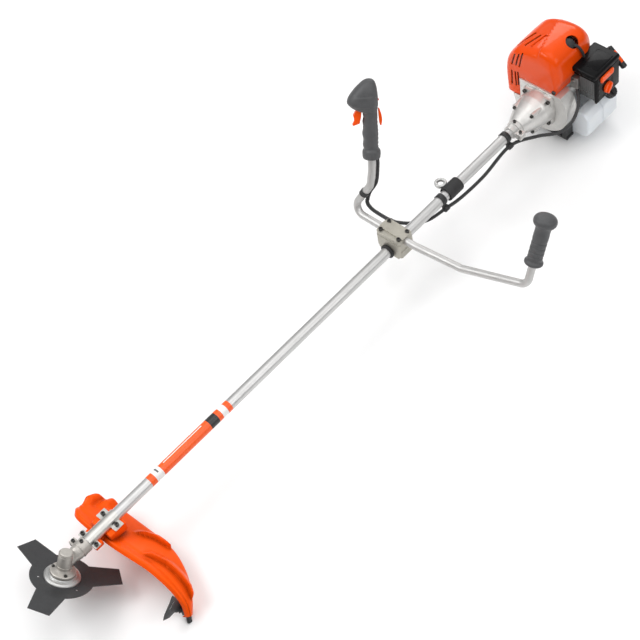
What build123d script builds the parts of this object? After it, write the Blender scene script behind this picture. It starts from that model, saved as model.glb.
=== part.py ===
from build123d import *
import os
from math import sin, cos, atan2, radians, pi

# A petrol brush cutter: angled gear head with a three-tooth blade and guard at the front,
# a long tube with an asymmetric handlebar, and a single-cylinder engine at the rear.
# +Y runs along the shaft from the blade to the engine, +Z is up and +X is the user's left.
# The origin is on the shaft axis, in the middle of the bare length of tube.
# A "station" is a distance in mm along the shaft from where the blade axis meets it.

os.makedirs("parts", exist_ok=True)

# ----------------------------------------------------------------------------
# Driving dimensions (mm, degrees)
# ----------------------------------------------------------------------------
gear_y = -780.0          # Y of the point where the shaft and blade axes meet
head_angle = 60.0        # blade axis to shaft axis
fit = 0.03               # radial clearance of clamps on the tube and the bar
seat_gap = 0.02          # radial clearance of bearing seats

tube_r = 13.0
tube_inner_r = 11.5
tube_front = 42.0        # stations of the tube's two ends
tube_rear = 1528.0
tube_seat = tube_r + fit
bracket_seat = tube_r + 0.04
rod_r = 4.0              # drive shaft

small_bearing_r = 11.0   # outside radii of the ball bearings
lower_bearing_r = 13.0
crank_bearing_r = 17.5

blade_r = 127.5
blade_bore_r = 12.7
blade_thickness = 1.6
blade_top = -31.8        # height of the blade's upper face on the blade axis
blade_bottom = blade_top - blade_thickness

clamp_station = 1062.0   # handlebar clamp
bar_z = 34.0             # handlebar centre height over the shaft axis
bar_r = 9.0
bar_seat = bar_r + fit
bar_tilt = 24.0          # handlebar's lean towards the user
eye_station = 1262.0     # harness eye

flange_rear = 1603.0     # rear face of the clutch housing's flange
flange_thickness = 11.0
house_bolt_circle = 49.7
fan_rear = 1641.0        # rear face of the fan housing
cylinder_station = 1690.0

# ----------------------------------------------------------------------------
# Frames
# ----------------------------------------------------------------------------
ON = (Align.CENTER, Align.CENTER, Align.MIN)       # stands on its plane
UNDER = (Align.CENTER, Align.CENTER, Align.MAX)    # hangs below its plane
MIDDLE = (Align.CENTER, Align.CENTER, Align.CENTER)
FORWARD = (Align.MIN, Align.CENTER, Align.CENTER)  # starts at its plane's local X = 0

across_x = Vector(1, 0, 0)
gear_centre = Vector(0, gear_y, 0)
blade_up = Vector(0, cos(radians(head_angle)), sin(radians(head_angle)))
blade_back = Vector(0, sin(radians(head_angle)), -cos(radians(head_angle)))

# half planes for turned profiles: (station, radius) and (radius, height up the blade axis)
SHAFT_HALF = Plane(origin=gear_centre, x_dir=(0, 1, 0), z_dir=(1, 0, 0))
BLADE_HALF = Plane(origin=gear_centre, x_dir=blade_back, z_dir=(1, 0, 0))
SHAFT_AXIS = Axis(gear_centre, (0, 1, 0))
BLADE_AXIS = Axis(gear_centre, blade_up)


def shaft_y(station):
    return gear_y + station


def blade_point(x, back, up):
    """Point from blade-frame coordinates."""
    return gear_centre + across_x * x + blade_back * back + blade_up * up


def blade_plane(height):
    return Plane(origin=blade_point(0, 0, height), x_dir=(1, 0, 0), z_dir=blade_up)


def shaft_plane(station, x=0, z=0):
    """Plane across the shaft; its normal faces the blade, its local Y is +Z."""
    return Plane(origin=(x, shaft_y(station), z), x_dir=(1, 0, 0), z_dir=(0, -1, 0))


def up_plane(x, station, z):
    return Plane(origin=(x, shaft_y(station), z), x_dir=(1, 0, 0), z_dir=(0, 0, 1))


def side_plane(x, station, z, sign=1):
    """Plane facing the user's left, or right where sign is -1."""
    return Plane(origin=(x, shaft_y(station), z), z_dir=(sign, 0, 0))


def corner_planes(radius, station):
    """Four planes facing the blade, at 45 degrees round the shaft."""
    angles = [radians(angle) for angle in (45, 135, 225, 315)]
    return [shaft_plane(station, radius * cos(angle), radius * sin(angle)) for angle in angles]


def raised(planes, height):
    return [plane.offset(height) for plane in planes]


# ----------------------------------------------------------------------------
# Shape helpers; those that return nothing act on the part being built
# ----------------------------------------------------------------------------
def outline(plane, points):
    """Closed straight-sided face on a plane."""
    with BuildSketch(plane, mode=Mode.PRIVATE) as sketch:
        with BuildLine():
            Polyline(*points, close=True)
        make_face()
    return sketch.sketch


def soft_outline(plane, points, radius):
    """Closed face with rounded corners on a plane."""
    with BuildSketch(plane, mode=Mode.PRIVATE) as sketch:
        with BuildLine():
            FilletPolyline(*points, radius=radius, close=True)
        make_face()
    return sketch.sketch


def turn_on_shaft(points):
    """Solid of revolution from (station, radius) points."""
    revolve(outline(SHAFT_HALF, points), axis=SHAFT_AXIS)


def turn_on_blade(points):
    """Solid of revolution from (radius, height) points."""
    revolve(outline(BLADE_HALF, points), axis=BLADE_AXIS)


def prism(face, amount, both=False, mode=Mode.ADD):
    add(extrude(face, amount=amount, both=both, mode=Mode.PRIVATE), mode=mode)


def peg(plane, radius, length, align=ON):
    with Locations(plane):
        Cylinder(radius, length, align=align)


def bore(plane, radius, length, align=ON):
    with Locations(plane):
        Cylinder(radius, length, align=align, mode=Mode.SUBTRACT)


def shaft_bore(station, radius, length, align=ON):
    """Round cut on the shaft axis, running forwards from a station."""
    bore(shaft_plane(station), radius, length, align)


def drill(planes, radius, depth):
    """Round holes down from each plane."""
    with Locations(*planes):
        Cylinder(radius, depth, align=UNDER, mode=Mode.SUBTRACT)


def block(x, station, z, size, align=MIDDLE, mode=Mode.ADD):
    with Locations((x, shaft_y(station), z)):
        Box(*size, align=align, mode=mode)


def pocket(x, station, z, size, align=MIDDLE):
    block(x, station, z, size, align, Mode.SUBTRACT)


def spline_tube(points, radius):
    """Round rod along a spline."""
    with BuildPart(mode=Mode.PRIVATE) as rod:
        with BuildLine() as path:
            Spline(*points)
        with BuildSketch(Plane(origin=path.line @ 0, z_dir=path.line % 0)):
            Circle(radius)
        sweep(path=path.line)
    return rod.part


def socket_screw(plane, diameter, length, head_height=None):
    """Hex socket screw, its head's underside on the plane."""
    head_height = head_height or diameter * 0.9
    screw_axis = Axis(plane.origin, plane.z_dir)
    with BuildPart(plane, mode=Mode.PRIVATE) as screw:
        Cylinder(diameter * 0.82, head_height, align=ON)
        rims = screw.edges().filter_by(GeomType.CIRCLE).sort_by(screw_axis)
        chamfer(rims[-1], diameter * 0.08)
        Cylinder(diameter / 2, length, align=UNDER)
        with BuildSketch(plane.offset(head_height)):
            RegularPolygon(diameter * 0.46, 6)
        extrude(amount=-head_height * 0.6, mode=Mode.SUBTRACT)
    return screw.part


def save(piece, name):
    piece.part.label = name
    export_step(piece.part, f"parts/{name}.step")


# ----------------------------------------------------------------------------
# Gear case
# ----------------------------------------------------------------------------
chamber_r = 12.4
base_bolt_circle = 22.5
ear_station = 48

ear_bolts = [up_plane(-21.5, ear_station, 8.0)]
index_bolts = [up_plane(0, 56, 18.05)]
head_base_bolts = [
    Plane(
        origin=blade_point(
            base_bolt_circle * cos(radians(angle)), base_bolt_circle * sin(radians(angle)), -13.4),
        x_dir=(1, 0, 0), z_dir=blade_up)
    for angle in (-150, -30, 90)
]

with BuildPart() as gear_case:
    turn_on_blade([
        (0, 34), (12.5, 34), (14.5, 32.6), (15, 30.5), (15, 26), (15.6, 25), (15.8, -7),
        (18, -11), (26.5, -13.5), (28, -15), (28, -19.6), (0, -19.6)])
    turn_on_shaft([
        (0, 0), (0, 13.5), (22, 13.5), (31, 16), (36, 17), (43, 17), (43, 18), (64, 18), (64, 0)])
    block(-20.5, ear_station, 1.0, (14, 15, 14))
    # gear chamber and bearing seats on the blade axis
    bore(blade_plane(0), chamber_r, 30, MIDDLE)
    bore(blade_plane(22.1), chamber_r, 12.2, UNDER)
    bore(blade_plane(29.3), small_bearing_r + seat_gap, 8, UNDER)
    bore(blade_plane(-8), lower_bearing_r + seat_gap, 12, UNDER)
    # bearing seat, rod passage and tube socket on the shaft axis
    shaft_bore(36, small_bearing_r + seat_gap, 28)
    shaft_bore(50, 9.0, 20)
    shaft_bore(70, tube_r + 0.02, 28)
    # clamp slit through the ear
    pocket(-20.5, 55, 1.0, (16, 30, 1.6))
    drill(ear_bolts, 2.55, 30)
    drill(index_bolts, 2.55, 6)
    drill(head_base_bolts, 2.1, 8)
    drill(raised(head_base_bolts, 6), 4.3, 6)
save(gear_case, "gear_case")

# ----------------------------------------------------------------------------
# Bevel gears
# ----------------------------------------------------------------------------
gear_teeth = 16
pinion_teeth = 12
cone_outer = 18.4        # distances from the cone's tip to the ends of the teeth
cone_inner = 12.4
gear_half_cone = atan2(
    sin(radians(head_angle)), pinion_teeth / gear_teeth + cos(radians(head_angle)))
pinion_half_cone = radians(head_angle) - gear_half_cone


def bevel_gear(teeth, half_cone, bore_r, phase, hub_r, hub_length):
    """Straight bevel gear about +Z, its cone's tip at the origin."""
    outer_z, outer_r = cone_outer * cos(half_cone), cone_outer * sin(half_cone)
    inner_z, inner_r = cone_inner * cos(half_cone), cone_inner * sin(half_cone)
    tooth_module = 2 * outer_r / teeth
    root_depth, tip_rise = 1.15 * tooth_module, 0.84 * tooth_module
    shrink = cone_inner / cone_outer
    half_width = pi * outer_r / teeth / 2

    def tooth_at(z, scale):
        side = [
            (outer_r - root_depth - 0.4, half_width * 1.32),
            (outer_r - root_depth * 0.2, half_width * 0.86),
            (outer_r + tip_rise, half_width * 0.42)]
        points = [(x * scale, y * scale) for x, y in side]
        points += [(x * scale, -y * scale) for x, y in reversed(side)]
        return outline(Plane.XY.offset(z), points)

    with BuildPart(mode=Mode.PRIVATE) as tooth:
        loft([tooth_at(inner_z, shrink), tooth_at(outer_z, 1.0)])
    body = outline(Plane.XZ, [
        (0, inner_z), (inner_r - root_depth * shrink, inner_z), (outer_r - root_depth, outer_z),
        (hub_r, outer_z), (hub_r, outer_z + hub_length), (0, outer_z + hub_length)])
    with BuildPart(mode=Mode.PRIVATE) as gear:
        revolve(body, axis=Axis.Z)
        with PolarLocations(0, teeth, start_angle=phase):
            add(tooth.part)
        if bore_r:
            Cylinder(bore_r, 100, mode=Mode.SUBTRACT)
    return gear.part


# local X of the driven gear points rearwards so that a tooth space faces the pinion
gear_frame = Plane(origin=gear_centre, x_dir=blade_back, z_dir=blade_up)
pinion_frame = Plane(origin=gear_centre, x_dir=(0, 0, 1), z_dir=(0, 1, 0))

with BuildPart(gear_frame) as driven_gear:
    add(bevel_gear(gear_teeth, gear_half_cone, bore_r=5.02, phase=180.0 / gear_teeth,
                   hub_r=9.0, hub_length=5.2))
save(driven_gear, "driven_gear")

with BuildPart(pinion_frame) as pinion_gear:
    add(bevel_gear(pinion_teeth, pinion_half_cone, bore_r=0, phase=0,
                   hub_r=6.6, hub_length=3.0))
    # stem towards the engine, hollow for the drive shaft
    with Locations((0, 0, 14)):
        Cylinder(4.98, 26, align=ON)
    with Locations((0, 0, 22)):
        Cylinder(3.5, 40, align=ON, mode=Mode.SUBTRACT)
save(pinion_gear, "pinion_gear")

with BuildPart() as output_shaft:
    turn_on_blade([
        (0, 29), (3.5, 29), (3.98, 28.5), (3.98, 21.8), (4.98, 21.8), (4.98, -51),
        (4.2, -52), (0, -52)])
save(output_shaft, "output_shaft")


# ----------------------------------------------------------------------------
# Ball bearings of the gear head, clutch and crankshaft
# ----------------------------------------------------------------------------
def bearing(turn, near, width, outer_r, bore_r):
    """Sealed ball bearing: one ring with a recessed shield on each side."""
    far = near + width
    recess = 0.5
    shield_in = bore_r + (outer_r - bore_r) * 0.28
    shield_out = bore_r + (outer_r - bore_r) * 0.74
    points = [
        (near, bore_r), (near, shield_in), (near + recess, shield_in),
        (near + recess, shield_out), (near, shield_out), (near, outer_r),
        (far, outer_r), (far, shield_out), (far - recess, shield_out),
        (far - recess, shield_in), (far, shield_in), (far, bore_r)]
    if turn is turn_on_blade:
        points = [(radius, height) for height, radius in points]
    turn(points)


# axis, near face, width, outside radius, bore radius
bearings = [
    (turn_on_blade, 22.2, 6.9, small_bearing_r, 4.0),
    (turn_on_blade, -16.2, 8.0, lower_bearing_r, 5.0),
    (turn_on_shaft, 21.0, 7.0, small_bearing_r, 5.0),
    (turn_on_shaft, 28.4, 7.0, small_bearing_r, 5.0),
    (turn_on_shaft, 1556.0, 11.0, crank_bearing_r, 7.5),
    (turn_on_shaft, 1652.0, 12.0, crank_bearing_r, 7.5),
    (turn_on_shaft, 1716.0, 12.0, crank_bearing_r, 7.5),
]

with BuildPart() as ball_bearings:
    for bearing_sizes in bearings:
        bearing(*bearing_sizes)
save(ball_bearings, "ball_bearings")

# ----------------------------------------------------------------------------
# Blade and its mounting
# ----------------------------------------------------------------------------
spigot_r = blade_bore_r - 0.04

with BuildPart() as blade_adapter:
    turn_on_blade([
        (5.02, -20.1), (12, -20.1), (13, -21.5), (27, -21.5), (29, -22.6), (30.5, -25),
        (35, -25.8), (38, -27.4), (39.2, -29.2), (39.2, blade_top), (spigot_r, blade_top),
        (spigot_r, -33.3), (5.02, -33.3)])
save(blade_adapter, "blade_adapter")

disc_r = 68.7            # blade's inner disc
tooth_count = 3
tooth_phase = 56.0       # direction of the first tooth
tip_angle = radians(11.0)      # half angle of a tooth at its tip
root_angle = radians(29.5)     # half angle of a tooth at the disc
root_r = disc_r - 2

with BuildPart() as cutting_blade:
    with BuildSketch(blade_plane(blade_bottom)):
        Circle(disc_r)
        with BuildLine():
            Polyline(
                (root_r * cos(root_angle), root_r * sin(root_angle)),
                (blade_r * cos(tip_angle), blade_r * sin(tip_angle)),
                (blade_r * cos(tip_angle), -blade_r * sin(tip_angle)),
                (root_r * cos(root_angle), -root_r * sin(root_angle)),
                close=True)
        tooth_face = make_face(mode=Mode.PRIVATE)
        with PolarLocations(0, tooth_count, start_angle=tooth_phase):
            add(tooth_face)
        Circle(blade_bore_r, mode=Mode.SUBTRACT)
        # small holes between the teeth
        with PolarLocations(50, tooth_count, start_angle=tooth_phase + 180 / tooth_count):
            Circle(2.0, mode=Mode.SUBTRACT)
    extrude(amount=blade_thickness)
    straight_edges = cutting_blade.edges().filter_by(GeomType.LINE)
    chamfer(straight_edges.filter_by(lambda edge: edge.length > 40), length=0.5, length2=0.5)
save(cutting_blade, "cutting_blade")

cup_top = blade_bottom - 0.02

with BuildPart() as nut_cup:
    turn_on_blade([
        (5.05, cup_top - 1.4), (13.2, cup_top - 1.4), (13.2, cup_top), (30, cup_top),
        (31, cup_top - 1), (30.5, cup_top - 3), (24, cup_top - 13.5), (21.8, cup_top - 13.5),
        (27.5, cup_top - 4), (5.05, cup_top - 4)])
save(nut_cup, "nut_cup")

with BuildPart() as blade_nut:
    with BuildSketch(blade_plane(-37.45)):
        RegularPolygon(8.5, 6, major_radius=False)
        Circle(5.04, mode=Mode.SUBTRACT)
    extrude(amount=-9)
save(blade_nut, "blade_nut")

# ----------------------------------------------------------------------------
# Shaft
# ----------------------------------------------------------------------------
bushing_stations = (190, 480, 780, 1080, 1380)

with BuildPart() as shaft_tube:
    turn_on_shaft([
        (tube_front, tube_inner_r), (tube_front, tube_r), (tube_rear, tube_r),
        (tube_rear, tube_inner_r)])
save(shaft_tube, "shaft_tube")

with BuildPart() as drive_shaft:
    turn_on_shaft([
        (25, 0), (25, 3.0), (25.5, 3.45), (41, 3.45), (41, rod_r), (1540, rod_r), (1540, 3.95),
        (1585, 3.95), (1585, 0)])
save(drive_shaft, "drive_shaft")

with BuildPart() as shaft_bushings:
    for middle in bushing_stations:
        turn_on_shaft([
            (middle - 16, rod_r + 0.04), (middle - 16, 9.0), (middle - 13, tube_inner_r - 0.03),
            (middle + 13, tube_inner_r - 0.03), (middle + 16, 9.0), (middle + 16, rod_r + 0.04)])
save(shaft_bushings, "shaft_bushings")

# ----------------------------------------------------------------------------
# Guard, its bracket, extension and line knife
# ----------------------------------------------------------------------------
front_strap = 74         # stations of the bracket's two bolted straps
rear_strap = 134
front_strap_bolts = [up_plane(x, front_strap, 2.6) for x in (-21.5, 21.5)]
rear_strap_bolts = [up_plane(x, rear_strap, 2.6) for x in (-21.5, 21.5)]
bracket_bolts = front_strap_bolts + rear_strap_bolts

with BuildPart() as guard_bracket:
    # half sleeve over the tube
    with BuildSketch(shaft_plane(150)):
        Circle(15.3)
        Circle(bracket_seat, mode=Mode.SUBTRACT)
        with Locations((0, -20)):
            Rectangle(60, 40.6, mode=Mode.SUBTRACT)
    extrude(amount=84)
    for station, width, length in ((rear_strap, 62, 24), (front_strap, 56, 16)):
        block(0, station, 1.4, (width, length, 2.2))
    shaft_bore(160, bracket_seat, 120)
    drill(raised(bracket_bolts, 4), 3.1, 12)
save(guard_bracket, "guard_bracket")

# crescent guard, section by section towards +X in the blade frame:
# x, height, front edge, rear edge, skirt depth
guard_wall = 2.8
guard_stations = [
    (-128, 30, 118, 158, 14), (-108, 37, 106, 180, 22), (-70, 38, 97, 194, 26),
    (-32, 38, 95, 197, 28), (34, 38, 97, 199, 28), (80, 37, 103, 200, 28),
    (126, 33, 113, 198, 28), (170, 23, 121, 187, 26), (204, 6, 130, 175, 24),
    (226, -14, 137, 164, 20), (240, -38, 141, 156, 14),
]
# extension plate: x, height, front edge, rear edge
extension_stations = [
    (150, 20.5, 126, 178), (176, 9.5, 131, 172), (200, -9, 139, 162),
    (216, -27, 143, 156), (226, -50, 143, 152),
]


def guard_plane(stations, i):
    """Plane across the guard's sweep at station i, its local X rearwards."""
    before = stations[max(i - 1, 0)]
    after = stations[min(i + 1, len(stations) - 1)]
    heading = across_x * (after[0] - before[0]) + blade_up * (after[1] - before[1])
    x, height = stations[i][:2]
    return Plane(
        origin=blade_point(x, 0, height), x_dir=blade_back, z_dir=heading.normalized())


def guard_section(i):
    front, rear, skirt = guard_stations[i][2:]
    return outline(guard_plane(guard_stations, i), [
        (front - 2, -9), (front, 0), (rear - 7, 0), (rear, -5), (rear + 4, -skirt),
        (rear + 4 - guard_wall, -skirt), (rear - guard_wall, -6), (rear - 8, -guard_wall),
        (front + guard_wall, -guard_wall), (front + guard_wall - 2, -9)])


def extension_section(i):
    front, rear = extension_stations[i][2:]
    return outline(
        guard_plane(extension_stations, i), [(front, -3), (front, 0), (rear, 0), (rear, -3)])


with BuildPart() as guard:
    loft([guard_section(i) for i in range(len(guard_stations))], ruled=True)
    # saddle under the tube: top height, station, width, length, depth
    for z, station, width, length, depth in (
            (-0.4, 129, 60, 46, 26), (-0.4, 79, 56, 26, 18), (-13.6, 100, 22, 50, 6)):
        with BuildSketch(Plane.XY.offset(z)):
            with Locations((0, shaft_y(station))):
                Rectangle(width, length)
        extrude(amount=-depth)
    shaft_bore(170, bracket_seat, 150)
    # clearance round the gear case's collar
    shaft_bore(66, 18.3, 20)
    drill(raised(bracket_bolts, 1), 3.1, 24)
save(guard, "guard")

with BuildPart() as guard_extension:
    loft([extension_section(i) for i in range(len(extension_stations))], ruled=True)
save(guard_extension, "guard_extension")

# blade-frame outline of the fin: (back, height)
fin_points = [
    (152, -33), (138, -31), (128, -25), (118, -24), (94, -54), (110, -49), (124, -38),
    (143, -43), (152, -41)]
foot_plane = Plane(
    origin=blade_point(217.2, 0, -40.2), x_dir=blade_back,
    z_dir=(across_x * 10 + blade_up * -23).normalized())
fin_plane = Plane(origin=blade_point(212.6, 0, 0), x_dir=blade_back, z_dir=(1, 0, 0))

with BuildPart() as line_knife:
    # cutting fin that trims the nylon line, bent up from its mounting foot
    with BuildSketch(foot_plane, mode=Mode.PRIVATE) as foot_face:
        with Locations((148.5, 0)):
            Rectangle(10, 1.6)
    prism(foot_face.sketch, 8, both=True)
    prism(outline(fin_plane, fin_points), 1.6)
save(line_knife, "line_knife")

# ----------------------------------------------------------------------------
# Handlebar clamp
# ----------------------------------------------------------------------------
clamp_width = 72
clamp_corner = 6
clamp_gap = 0.3          # from each clamp face to the centre of the tube or bar
clamp_bolts = [
    up_plane(x, clamp_station + offset, bar_z + 11.25) for x in (-27, 27) for offset in (-15, 15)]
bar_cross = side_plane(0, clamp_station, bar_z)

with BuildPart() as handle_clamp_base:
    with BuildSketch(Plane.XY.offset(clamp_gap)):
        with Locations((0, shaft_y(clamp_station))):
            RectangleRounded(clamp_width, 48, clamp_corner)
    extrude(amount=bar_z - 2 * clamp_gap)
    # waisted sides between the tube seat and the bar seat
    for x in (-43, 43):
        pocket(x, clamp_station, 16, (16, 60, 12))
    shaft_bore(clamp_station, tube_seat, 120, MIDDLE)
    bore(bar_cross, bar_seat, 160, MIDDLE)
    drill(raised(clamp_bolts, 2), 3.1, 60)
save(handle_clamp_base, "handle_clamp_base")

with BuildPart() as handle_clamp_lower:
    with BuildSketch(Plane.XY.offset(-clamp_gap)):
        with Locations((0, shaft_y(clamp_station))):
            RectangleRounded(clamp_width, 44, clamp_corner)
    extrude(amount=-17.5)
    for x in (-36, 36):
        pocket(x, clamp_station, -19, (20, 60, 18))
    shaft_bore(clamp_station, tube_seat, 120, MIDDLE)
    drill(raised(clamp_bolts, 2), 3.1, 80)
save(handle_clamp_lower, "handle_clamp_lower")

with BuildPart() as handle_clamp_cap:
    with BuildSketch(Plane.XY.offset(bar_z + clamp_gap)):
        with Locations((0, shaft_y(clamp_station))):
            RectangleRounded(clamp_width, 46, clamp_corner)
    extrude(amount=14)
    # lowered ledges under the screw heads
    for offset in (-22.5, 22.5):
        pocket(0, clamp_station + offset, bar_z + 15.2, (80, 22, 8))
    bore(bar_cross, bar_seat, 160, MIDDLE)
    drill(raised(clamp_bolts, 4), 3.1, 30)
    drill(raised(clamp_bolts, 8), 5.2, 8)
save(handle_clamp_cap, "handle_clamp_cap")

ring_front = clamp_station - 33
ring_rear = clamp_station - 25

with BuildPart() as clamp_ring:
    turn_on_shaft([
        (ring_front, tube_seat), (ring_front, 16.5), (ring_front + 1.5, 18),
        (ring_rear - 1.5, 18), (ring_rear, 16.5), (ring_rear, tube_seat)])
save(clamp_ring, "clamp_ring")

# ----------------------------------------------------------------------------
# Handlebar: lies in one plane through the clamp, leaning back
# ----------------------------------------------------------------------------
bar_origin = Vector(0, shaft_y(clamp_station), bar_z)
bar_lean = Vector(0, sin(radians(bar_tilt)), cos(radians(bar_tilt)))
bar_plane = Plane(origin=bar_origin, x_dir=(1, 0, 0), z_dir=across_x.cross(bar_lean))
# centre line from the right end to the left end: (x, distance up the lean)
bar_points = [
    (-124.6, 240.7), (-95.5, 120.7), (-92.0, 84.0), (-131.4, 0), (60, 0), (195, 12.2),
    (366, 64.5), (369.5, 218)]


def bar_point(x, up):
    return bar_origin + across_x * x + bar_lean * up


with BuildPart() as handlebar:
    with BuildLine(bar_plane) as bar_line:
        FilletPolyline(*bar_points, radius=23)
    with BuildSketch(Plane(origin=bar_line.line @ 0, z_dir=bar_line.line % 0)):
        Circle(bar_r)
        Circle(bar_r - 1.5, mode=Mode.SUBTRACT)
    sweep(path=bar_line.line)
save(handlebar, "handlebar")

# ----------------------------------------------------------------------------
# Throttle grip on the right arm
# Its frame: origin at the grip's lower end, z along the bar, x forwards, y to the left
# ----------------------------------------------------------------------------
grip_axis = (bar_point(*bar_points[0]) - bar_point(*bar_points[1])).normalized()
grip_base = bar_point(-102.9, 151.2)
grip_aim = Vector(-0.62, -0.78, 0)
grip_forward = (grip_aim - grip_axis * grip_aim.dot(grip_axis)).normalized()
grip_left = grip_axis.cross(grip_forward)


def grip_point(x, y, z):
    return grip_base + grip_forward * x + grip_left * y + grip_axis * z


def grip_level(z, x=0):
    return Plane(origin=grip_point(x, 0, z), x_dir=grip_forward, z_dir=grip_axis)


def grip_side(y):
    """Plane facing left; its local X is forwards and its local Y runs down the grip."""
    return Plane(origin=grip_point(0, y, 0), x_dir=grip_forward, z_dir=grip_left)


def grip_ellipse(z, offset, radius_x, radius_y):
    with BuildSketch(grip_level(z), mode=Mode.PRIVATE) as sketch:
        with Locations((offset, 0)):
            Ellipse(radius_x, radius_y)
    return sketch.sketch


# elliptical sections: z, forward offset, radius in x, radius in y
handle_levels = [
    (0, 0, 19.5, 20.5), (12, 0, 20.5, 21.5), (17, 1, 17, 18), (60, 1.5, 18, 19),
    (104, 2, 17, 18)]
head_levels = [
    (104, 2, 17, 18), (112, 12, 27, 21), (124, 19, 35, 25), (142, 15, 30, 24),
    (158, 7, 18, 17), (166, 3, 8, 9)]
grip_screw_planes = [
    Plane(origin=grip_point(x, -15.5, z), x_dir=grip_axis, z_dir=-grip_left)
    for x, z in ((14, 24), (14, 70), (36, 150))]
trigger_x, trigger_z = 26, 116       # trigger pivot

with BuildPart(mode=Mode.PRIVATE) as grip_solid:
    for levels in (handle_levels, head_levels):
        loft([grip_ellipse(*level) for level in levels], ruled=True)
    bore(grip_level(-1), bar_r + 0.02, 93.5)
    # trigger slot
    with Locations(grip_level(99)):
        Box(60, 13, 41, align=FORWARD, mode=Mode.SUBTRACT)
    with Locations(grip_level(trigger_z)):
        Box(34, 13, 15, align=FORWARD, mode=Mode.SUBTRACT)
    # lockout slot
    with Locations(grip_level(98, x=-24.25)):
        Box(24.5, 10, 44, mode=Mode.SUBTRACT)
    # switch slot
    with Locations(grip_level(142, x=-13)):
        Box(12, 9, 18, mode=Mode.SUBTRACT)

with BuildPart() as throttle_grip_left:
    add(grip_solid.part)
    split(bisect_by=grip_side(0.05), keep=Keep.TOP)
    drill(raised(grip_screw_planes, 6), 1.55, 36)
    # pivot pin of the trigger
    peg(Plane(origin=grip_point(trigger_x, -6.2, trigger_z), z_dir=grip_left), 1.5, 14.2)
save(throttle_grip_left, "throttle_grip_left")

with BuildPart() as throttle_grip_right:
    add(grip_solid.part)
    split(bisect_by=grip_side(-0.05), keep=Keep.BOTTOM)
    drill(raised(grip_screw_planes, 6), 1.55, 36)
    drill(raised(grip_screw_planes, 12), 3.2, 12)
save(throttle_grip_right, "throttle_grip_right")

with BuildPart() as grip_screws:
    for plane in grip_screw_planes:
        add(socket_screw(plane, 3.0, 22, head_height=2.0))
save(grip_screws, "grip_screws")

# side outlines of the controls: (forwards, down the grip)
trigger_points = [
    (20, -119.5), (32, -119.5), (41, -108), (38, -92), (43, -82), (40, -79.5), (24, -84),
    (21, -100)]
lockout_points = [
    (-16.0, -118.5), (-19.5, -117.5), (-25.5, -92), (-23.5, -78), (-20.5, -78),
    (-18.5, -84), (-16.2, -112)]
switch_points = [
    (-8, -144), (-8, -136), (-15, -136), (-18.5, -137), (-18.5, -140), (-16, -144)]
trigger_pivot = grip_point(trigger_x, 0, trigger_z)
trigger_axis = Axis(trigger_pivot, grip_left)

# trigger: hinged at its top inside the head
with BuildPart() as throttle_trigger:
    prism(soft_outline(grip_side(-5.9), trigger_points, 1.8), 11.8)
    side_edges = throttle_trigger.edges().filter_by(trigger_axis, reverse=True)
    fillet(side_edges.group_by(trigger_axis)[-1], 1.2)
    bore(Plane(origin=trigger_pivot, z_dir=grip_left), 1.6, 20, MIDDLE)
save(throttle_trigger, "throttle_trigger")

with BuildPart() as lockout_lever:
    prism(soft_outline(grip_side(-4.4), lockout_points, 0.8), 8.8)
save(lockout_lever, "lockout_lever")

with BuildPart() as stop_switch:
    prism(soft_outline(grip_side(-3.9), switch_points, 0.8), 7.8)
save(stop_switch, "stop_switch")

# ----------------------------------------------------------------------------
# Plain grip on the left arm, turned from (radius, distance up the grip) points
# ----------------------------------------------------------------------------
plain_axis = (bar_point(*bar_points[-1]) - bar_point(367.2, 117)).normalized()
plain_frame = Plane(origin=bar_point(367.3, 121), x_dir=(1, 0, 0), z_dir=plain_axis)
plain_half = Plane(origin=plain_frame.origin, x_dir=plain_frame.x_dir, z_dir=-plain_frame.y_dir)
plain_bore_r = bar_r + 0.02

plain_profile = [(plain_bore_r, 0), (20.5, 0), (21.5, 3), (20.8, 8), (17.2, 11), (16.6, 14)]
for groove in (22, 34, 46, 58):
    plain_profile += [
        (17.2, groove - 3), (15.8, groove - 1.5), (15.8, groove + 1.5), (17.2, groove + 3)]
plain_profile += [
    (17.6, 74), (17, 86), (18, 95), (24, 101), (26.5, 107), (26, 114), (22, 119), (12, 122),
    (0, 122.5), (0, 101), (plain_bore_r, 101)]

with BuildPart() as left_grip:
    revolve(outline(plain_half, plain_profile), axis=Axis(plain_frame.origin, plain_frame.z_dir))
save(left_grip, "left_grip")

# ----------------------------------------------------------------------------
# Harness bracket: ring on the tube with an eye on its right
# ----------------------------------------------------------------------------
harness_ring_r = 15.4

with BuildPart() as harness_bracket:
    with BuildSketch(shaft_plane(eye_station + 10)):
        Circle(harness_ring_r)
        Circle(tube_seat, mode=Mode.SUBTRACT)
    extrude(amount=20)
    with BuildSketch(Plane.XY.offset(2.0)):
        with Locations((-30, shaft_y(eye_station))):
            Circle(12.5)
        with Locations((-20, shaft_y(eye_station))):
            Rectangle(14, 16)
    extrude(amount=4)
    shaft_bore(eye_station, tube_seat, 80, MIDDLE)
    with BuildSketch(Plane.XY):
        with Locations((-31, shaft_y(eye_station))):
            Circle(7.5)
    extrude(amount=12, mode=Mode.SUBTRACT)
save(harness_bracket, "harness_bracket")

sleeve_front = eye_station - 18
sleeve_rear = eye_station + 28
sleeve_step = eye_station + 10.4
sleeve_inner_r = harness_ring_r + 0.05

with BuildPart() as harness_sleeve:
    turn_on_shaft([
        (sleeve_front, sleeve_inner_r), (sleeve_front, 17.4), (sleeve_front + 2, 18.2),
        (sleeve_rear - 2, 18.2), (sleeve_rear, 17.4), (sleeve_rear, tube_r + 0.05),
        (sleeve_step, tube_r + 0.05), (sleeve_step, sleeve_inner_r)])
    pocket(-22, eye_station, 4, (20, 18.4, 5.2))
save(harness_sleeve, "harness_sleeve")

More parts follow.
